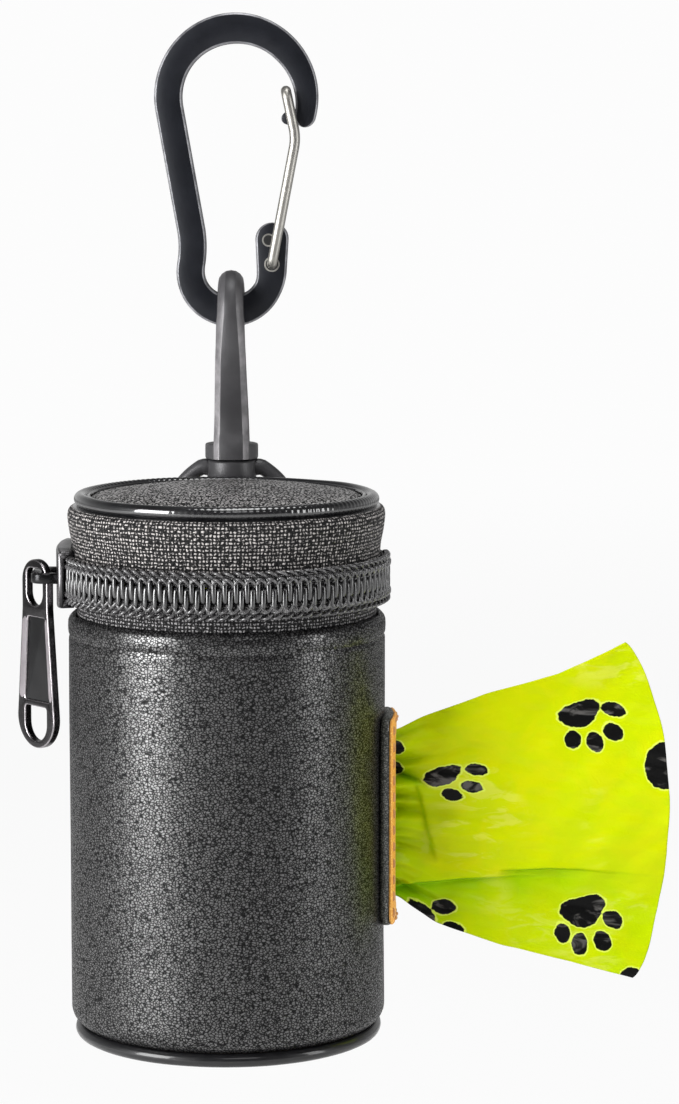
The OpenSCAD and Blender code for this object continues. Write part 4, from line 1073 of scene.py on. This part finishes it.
def strap():
    """The strap: one leather band from round the loop's bar down the lid's back to its seam on the pouch.
    Its middle line is a radius and a height, its width a flat strip at the bar that turns into an arc."""
    half, wide = 15.6, 23.75
    s = np.radians(np.linspace(-half, half, 21))[:, None]
    over = np.radians(np.linspace(-60, 180, 20))
    wrap = points_at(1.75 * np.cos(over) - AXIS[1], LOOP_BAR_Z + 1.75 * np.sin(over))
    down = [(wide, LOOP_BAR_Z - 1.2), (23.62, LOOP_BAR_Z - 3.5), (23.3, ZIP_Z + 6), (23.3, ZIP_Z - 2),
        (23.3, ZIP_Z - 14), (23.3, ZIP_Z - 25.6)]
    line = spline(np.concatenate([wrap, down]), 90)
    out = line[:, 0] + 0 * s
    near = np.clip((line[:, 1] - (LOOP_BAR_Z - 5)) / 3.5, 0, 1)
    x = wide * np.sin(s) * near + out * np.sin(s) * (1 - near)
    y = out * near + out * np.cos(s) * (1 - near)
    grid = points_at(AXIS[0] + x, AXIS[1] + y, line[:, 1])
    made = piece("hinge_strap_leather", [grid], strap_leather, sharp=60)
    solid(made, 0.9, 0.0)
    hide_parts("hang_tab", "hinge_strap")
    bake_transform(made)
    z = LEATHER_TOP - 1.5 - np.arange(0.5, 7.5) * 2.5
    grids = [stitch_row([math.radians(90 + side * 12.5)] * len(z), z, 23.86, 1.5, True, 0.22)
        for side in (-1, 1)]
    dress(piece("strap_seam_stitches", grids, thread), "pouch", "black_thread", "strap_stitches")


# ---------------------------------------------------------------- bags
def roll():
    """The roll: a card core and film wound on it in a spiral, whose radius grows evenly with the turn and
    whose layers show at the ends."""
    low, high = ends_of("roll_film", 2)
    t = np.linspace(0, 1, 1700)
    turns, inner, outer = 34, 6.7, 17.1
    a = t * turns * TURN
    r = inner + (outer - inner) * t
    ends = ripple(a * 0.7, r, 51, 0.35)
    z = np.array([0.0, 0.004, 0.3, 0.7, 0.996, 1.0])
    grid = around(a[:, None], r[:, None], low + 0.3 + ends[:, None] + (high - low - 0.6) * z)
    made = piece("bag_roll", [grid], film_finish, sharp=80, weld=False, values={
        "print": np.full(grid.shape[:2], 9.0), "shade": np.zeros(grid.shape[:2])})
    solid(made, 0.2, 0.0)
    dress(made, "roll", "bag_film", "roll_film")
    core = revolve(closed([(5.75, low), (6.45, low), (6.45, high), (5.75, high)]), 64)
    dress(piece("roll_core_tube", [core], card), "roll", "roll_card", "roll_core")


def bag_finish():
    """Thin glossy film: yellow-green, with a painted shade of deeper green in its folds, at the neck and
    towards the far side, pale painted highlights in streaks, and printed black paws that have a pale outline
    and painted glints on their ink. The points hold the print as a distance, and the depth of the painted
    shade."""
    paint = Paint("bag film", (0.55, 0.8, 0.01), 0.33, Specular_IOR_Level=0.07)
    at = paint.place()
    crease = paint.noise(at, 0.16, 4.0, 0.6, 0.6)
    fine = paint.noise(at, 0.9, 3.0, 0.6, 1.2)
    tone = paint.mix(crease.ramp(0.35, 0.7), (0.50, 0.60, 0.0), (0.57, 0.60, 0.0))
    streaks = paint.noise(paint.place((0.35, 1, 1)), 0.55, 3.0, 0.6, 0.8)
    # Painted highlight: pale yellow patches and streaks over the film.
    pale = paint.noise(at, 0.07, 1.0).ramp(0.5, 0.58) * streaks.ramp(0.48, 0.62) * 0.6
    tone = paint.mix(pale, tone, (0.62, 0.64, 0.07))
    tone = paint.mix(paint.value("shade"), tone, (0.19, 0.47, 0.0))
    edge = paint.value("print") + paint.noise(at, 1.1, 2.0) * 0.5 - 0.25
    tone = paint.mix(edge.ramp(0.24, 0.1), tone, (0.6, 0.72, 0.09))
    ink = edge.ramp(0.05, -0.05)
    # Painted glints: light grey streaks on the black ink.
    glint = streaks.ramp(0.52, 0.68) * 0.8
    tone = paint.mix(ink, tone, paint.mix(glint, (0.005, 0.005, 0.005), (0.11, 0.105, 0.1)))
    paint.set("Base Color", tone)
    paint.set("Roughness", crease * 0.2 + 0.22)
    return paint.bump(crease * 0.6 + fine * 0.4, 0.3, 0.6)


film_finish = bag_finish()

# Each pad of the paw prints: across from the pouch's axis, height, half its length and width in mm, how its
# length leans in degrees, and how far it is a soft triangle rather than an oval.
PADS = [
    (50.6, -88.0, 3.0, 1.8, 18, 0.09), (55.5, -87.4, 1.75, 0.95, -15, 0), (55.4, -90.5, 1.5, 1.15, -35, 0),
    (52.8, -92.0, 1.45, 1.2, -60, 0), (49.6, -91.7, 1.35, 1.2, 110, 0),
    (30.9, -96.9, 2.75, 1.3, 17, 0.05), (35.8, -96.1, 1.6, 0.8, -5, 0), (35.1, -98.5, 1.65, 0.9, -10, 0),
    (32.3, -99.7, 1.55, 0.9, -15, 0),
    (51.4, -117.0, 3.25, 2.25, 12, 0.11), (55.7, -118.4, 1.6, 1.2, -35, 0), (54.2, -121.4, 1.5, 1.2, -60, 0),
    (50.9, -121.9, 1.6, 1.15, -85, 0), (48.4, -120.2, 1.5, 1.1, 100, 0),
    (28.0, -117.0, 2.4, 0.95, -38, 0), (31.2, -116.4, 1.75, 1.15, -3, 0), (32.5, -119.5, 1.7, 0.95, -15, 0),
    (62.7, -95.3, 3.45, 2.75, 90, 0), (58.4, -126.8, 1.7, 1.5, 0, 0), (24.3, -92.8, 1.1, 0.95, 0, 0),
    (24.2, -96.1, 1.1, 1.0, 0, 0)]


def paw_distance(x, z):
    """Distance in mm to the nearest pad, below 0 inside: half the width times how far the place lies
    beyond the oval, whose radius grows by a share of sin 3a, so that a corner points down."""
    nearest = np.full(x.shape, 9.0)
    for px, pz, long, wide, lean, corner in PADS:
        c, s = math.cos(math.radians(lean)), math.sin(math.radians(lean))
        a, b = ((x - px) * c + (z - pz) * s) / long, (-(x - px) * s + (z - pz) * c) / wide
        reach = np.hypot(a, b) / (1 + corner * np.sin(3 * np.arctan2(b, a)))
        nearest = np.minimum(nearest, (reach - 1) * wide)
    return nearest


def fold(t, middle, width):
    """A rounded ridge: one over one plus the squared distance in widths."""
    return 1 / (1 + ((t - middle) / width) ** 2)


def step(t):
    """Falls from 1 to 0 as a number passes 0: one over one plus its exponential."""
    return 1 / (1 + np.exp(np.clip(t, -40, 40)))


def film():
    """The pulled-out end of the film: lines fan out from the slot to the free edge, and folds that run
    along them fade towards that edge. s runs from inside the slot to the free edge, t from its low side to
    its high side. The points also hold the print's distance, and how deep the painted shade is: in the folds,
    at the neck by the slot and towards the far side."""
    s = np.linspace(0, 1, 230)[:, None]
    t = np.linspace(-1, 1, 261)[None, :]
    inside, slot, far = 17.3, 24.4, 57.6
    top_x = [inside, slot, 28.0, 37.0, 47.8, far]
    top_z = [-90.6, -90.3, -88.5, -85.2, -82.3, -77.8]
    low_x = [inside, 24.2, 29.7, 39.0, 48.0, far]
    low_z = [-114.9, -114.6, -118.6, -121.9, -124.3, -126.8]
    edge_t = [-1, -0.85, -0.4, 0.05, 0.5, 0.85, 1.0]
    edge_x = [59.0, 60.9, 63.1, 63.7, 62.6, 59.9, far]
    pad = 20
    end = np.pad(np.interp(t, edge_t, edge_x)[0], pad, mode="reflect", reflect_type="odd")
    for _ in range(120):
        end = np.convolve(end, [0.25, 0.5, 0.25], mode="same")
    x = inside + s * (end[pad:-pad] - inside)
    base_x = inside + s * (far - inside)
    high, low = np.interp(base_x, top_x, top_z), np.interp(base_x, low_x, low_z)
    for side in (high, low):
        for _ in range(14):
            side[1:-1] = (side[:-2] + 2 * side[1:-1] + side[2:]) / 4
    z = (high + low) / 2 + t * (high - low) / 2
    out = np.clip((x - slot) / 38, 0, 1)
    past = np.clip(x - slot, 0, None)
    neck = np.exp(-past / 7)
    y = 0.9 * np.sin(t * 13 + 0.5) * neck + 0.5 * np.sin(t * 29 + 1.0) * neck ** 2
    crease = np.interp(x, [17, slot, 27, 32.9, 40.3, 46], [-113.4, -113.4, -112.6, -112.2, -112.0, -111.9])
    second = np.interp(x, [36, 41.2, 46, 50.7, 56, 64], [-111.3, -110.9, -110.6, -110.8, -111.3, -112])
    shade = 0
    # Painted shade under each crease and along its line.
    for line, start, stop in ((crease, 10, 36), (second, 39, 48)):
        strength = np.clip((x - start) / 3, 0, 1) * np.exp(-np.clip(x - stop, 0, None) / 5)
        below = step((z - line) / 0.1)
        under = below * np.exp(-np.clip(line - z, 0, None) / 4.0)
        over = (1 - below) * np.exp(-np.clip(z - line, 0, None) / 1.4)
        y = y + (under * 1.3 - over * 0.7) * strength
        shade = shade + (0.5 * under + 0.45 * fold(z, line, 0.16)) * strength
    pleat = np.interp(x, [17, slot, 28.2, 34], [-96.8, -96.9, -98.0, -98.4])
    y = y + 1.5 * fold(z, pleat, 0.5) * np.exp(-(past / 4.2) ** 4)
    side_fold = 27.4 + (-99 - z) * 0.24
    upright = np.exp(-((z + 103.5) / 5.5) ** 6)
    y = y + 0.55 * upright * step((x - side_fold) / 0.15)
    y = y + 0.6 * fold(z, -103 - out * 3, 2.2) * np.exp(-((x - 33) / 9) ** 2)
    y = y - 1.5 * fold(z, -93 + out * 3, 4.5) * out * 0.9 + 1.6 * out * t ** 2 - 0.9 * out * np.sin(t * 5 + 1)
    rays = np.sin(t * 34 + np.sin(t * 9)) * 0.35 + np.sin(t * 61 + 2) * 0.2
    y = y + ripple(x * 0.28, z * 0.42, 61, 0.7) * np.clip((x - 22) / 6, 0, 1)
    y = y + ripple(x * 0.9, z * 1.5, 62, 0.22) + 0.55 * rays * np.exp(-past / 6)
    y = np.where(x < FACE_R, np.clip(y, -1.6, 1.6), y)
    points = points_at(AXIS[0] + x, AXIS[1] + y, z)
    # Painted shade: darker green towards the far side, at the neck by the slot, below the crease, in the
    # pleat and along the upright fold.
    shade = shade + 0.1 * np.clip((x - 46) / 10, 0, 1)
    shade = shade + 0.27 * np.exp(-(past / 5.5) ** 2) + 0.12 * np.exp(-past / 16)
    shade = shade + 0.14 * step(z - crease) + 0.5 * fold(z, pleat, 0.5) * np.exp(-(past / 4) ** 4)
    shade = shade + 0.4 * upright * fold(x, side_fold, 0.12) + 0.12 * rays * np.exp(-past / 8)
    shade = np.clip(shade, 0, 1)
    made = piece("bag_film_end", [points], film_finish, sharp=80, weld=False, values={
        "print": paw_distance(x, z), "shade": shade})
    solid(made, 0.09, 0.0)
    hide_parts("bag_tail")
    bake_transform(made)


# ---------------------------------------------------------------- small parts that stay as they are
def keep_nodes():
    """Materials for the nodes whose own shapes stay."""
    finishes = {"latch_pin": rivet_metal, "hook_latch": cast, "swivel_rivet": rivet_metal,
        "lid_board": stiffener, "base_board": stiffener, "base_lining": lining_cloth,
        "top_stop_upper": slider_metal, "top_stop_lower": slider_metal, "bottom_stop": slider_metal}
    for name, finish in finishes.items():
        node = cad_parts[name]
        for place in node.material_slots:
            place.material = finish.material
        if not node.material_slots:
            node.data.materials.append(finish.material)


# ---------------------------------------------------------------- stage
def stage():
    """A pale floor below the hanging piece, soft lamps, the camera, and a surround that is white to the
    camera and dimmer to what it lights: for glossy faces it grows towards the back and fades upwards."""
    a = np.linspace(0, TURN, 65)[:, None]
    r = np.linspace(0, 4000, 12)[None, :]
    grid = points_at(r * np.cos(a), r * np.sin(a), BASE_Z - 42)
    paper = Paint("pale floor", (0.88, 0.88, 0.88), 0.9)
    at = paper.node("ShaderNodeTexCoord", output="Object")
    far = paper.node("ShaderNodeVectorMath", {"operation": "LENGTH"}, {0: at}, "Value")
    glow = paper.node("ShaderNodeEmission", None, {"Color": (*WHITE, 1)})
    mixed = paper.node("ShaderNodeMixShader", None, {0: paper.ray("Camera") * far.ramp(0.25, 1.2, 0.92, 1.0),
        1: Socket(paper, paper.shader.outputs[0]), 2: glow})
    paper.tree.links.new(mixed.output, paper.tree.nodes["Material Output"].inputs["Surface"])
    floor = piece("floor", [grid], paper)

    space = Surround("surround", WHITE)
    at = space.node("ShaderNodeTexCoord", output="Generated")

    def along(axis, start, stop, low, high):
        """Goes evenly from low to high along an axis."""
        return space.node("ShaderNodeMapRange", None, {"Value": space.part(at, axis), "From Min": start,
            "From Max": stop, "To Min": low, "To Max": high})
    back, up = along("Y", -0.3, 0.75, 0.02, 0.6), along("Z", 0.1, 0.65, 1.0, 0.12)
    seen = space.ray("Camera").math("MAXIMUM", space.ray("Transmission"))
    lit = seen.math("MAXIMUM", space.ray("Glossy") * (back * up))
    space.set("Strength", lit.math("MAXIMUM", space.ray("Diffuse") * 0.3))

    for name, at, width, height, power in (("left box", (-560, -410, 20), 340, 540, 8.6),
            ("right box", (610, -260, 0), 170, 600, 1.9), ("top box", (60, -60, 640), 420, 300, 2.2),
            ("front fill", (160, -800, 620), 400, 300, 1.0)):
        lamp = bpy.data.lights.new(name, "AREA")
        lamp.shape, lamp.size, lamp.size_y, lamp.energy = "RECTANGLE", width * MM, height * MM, power
        made = bpy.data.objects.new(name, lamp)
        made.location = np.array(at) * MM
        made.rotation_euler = aimed(np.array([AXIS[0], AXIS[1], -80]) - np.array(at))
        bpy.context.scene.collection.objects.link(made)

    tilt = 7.03
    camera = bpy.data.cameras.new("camera")
    camera.lens, camera.sensor_width = 118.7, 36
    camera.clip_start, camera.clip_end = 0.01, 20
    made = bpy.data.objects.new("camera", camera)
    made.location = (0.0152, -0.5415, -0.0009)
    made.rotation_euler = (math.radians(90 - tilt), 0, 0)
    bpy.context.scene.collection.objects.link(made)
    bpy.context.scene.camera = made
    bpy.context.scene.view_settings.view_transform = "Standard"


def aimed(direction):
    """The turn that points a lamp's -Z along a direction."""
    x, y, z = direction / np.linalg.norm(direction)
    return (math.acos(-z), 0, math.atan2(y, x) - math.pi / 2)


stage()
for build in (carabiner, gate, gate_holes, hook, loop, lid, band, teeth, slider, pull, pouch, base, patch,
        strap, roll, film, keep_nodes):
    build()
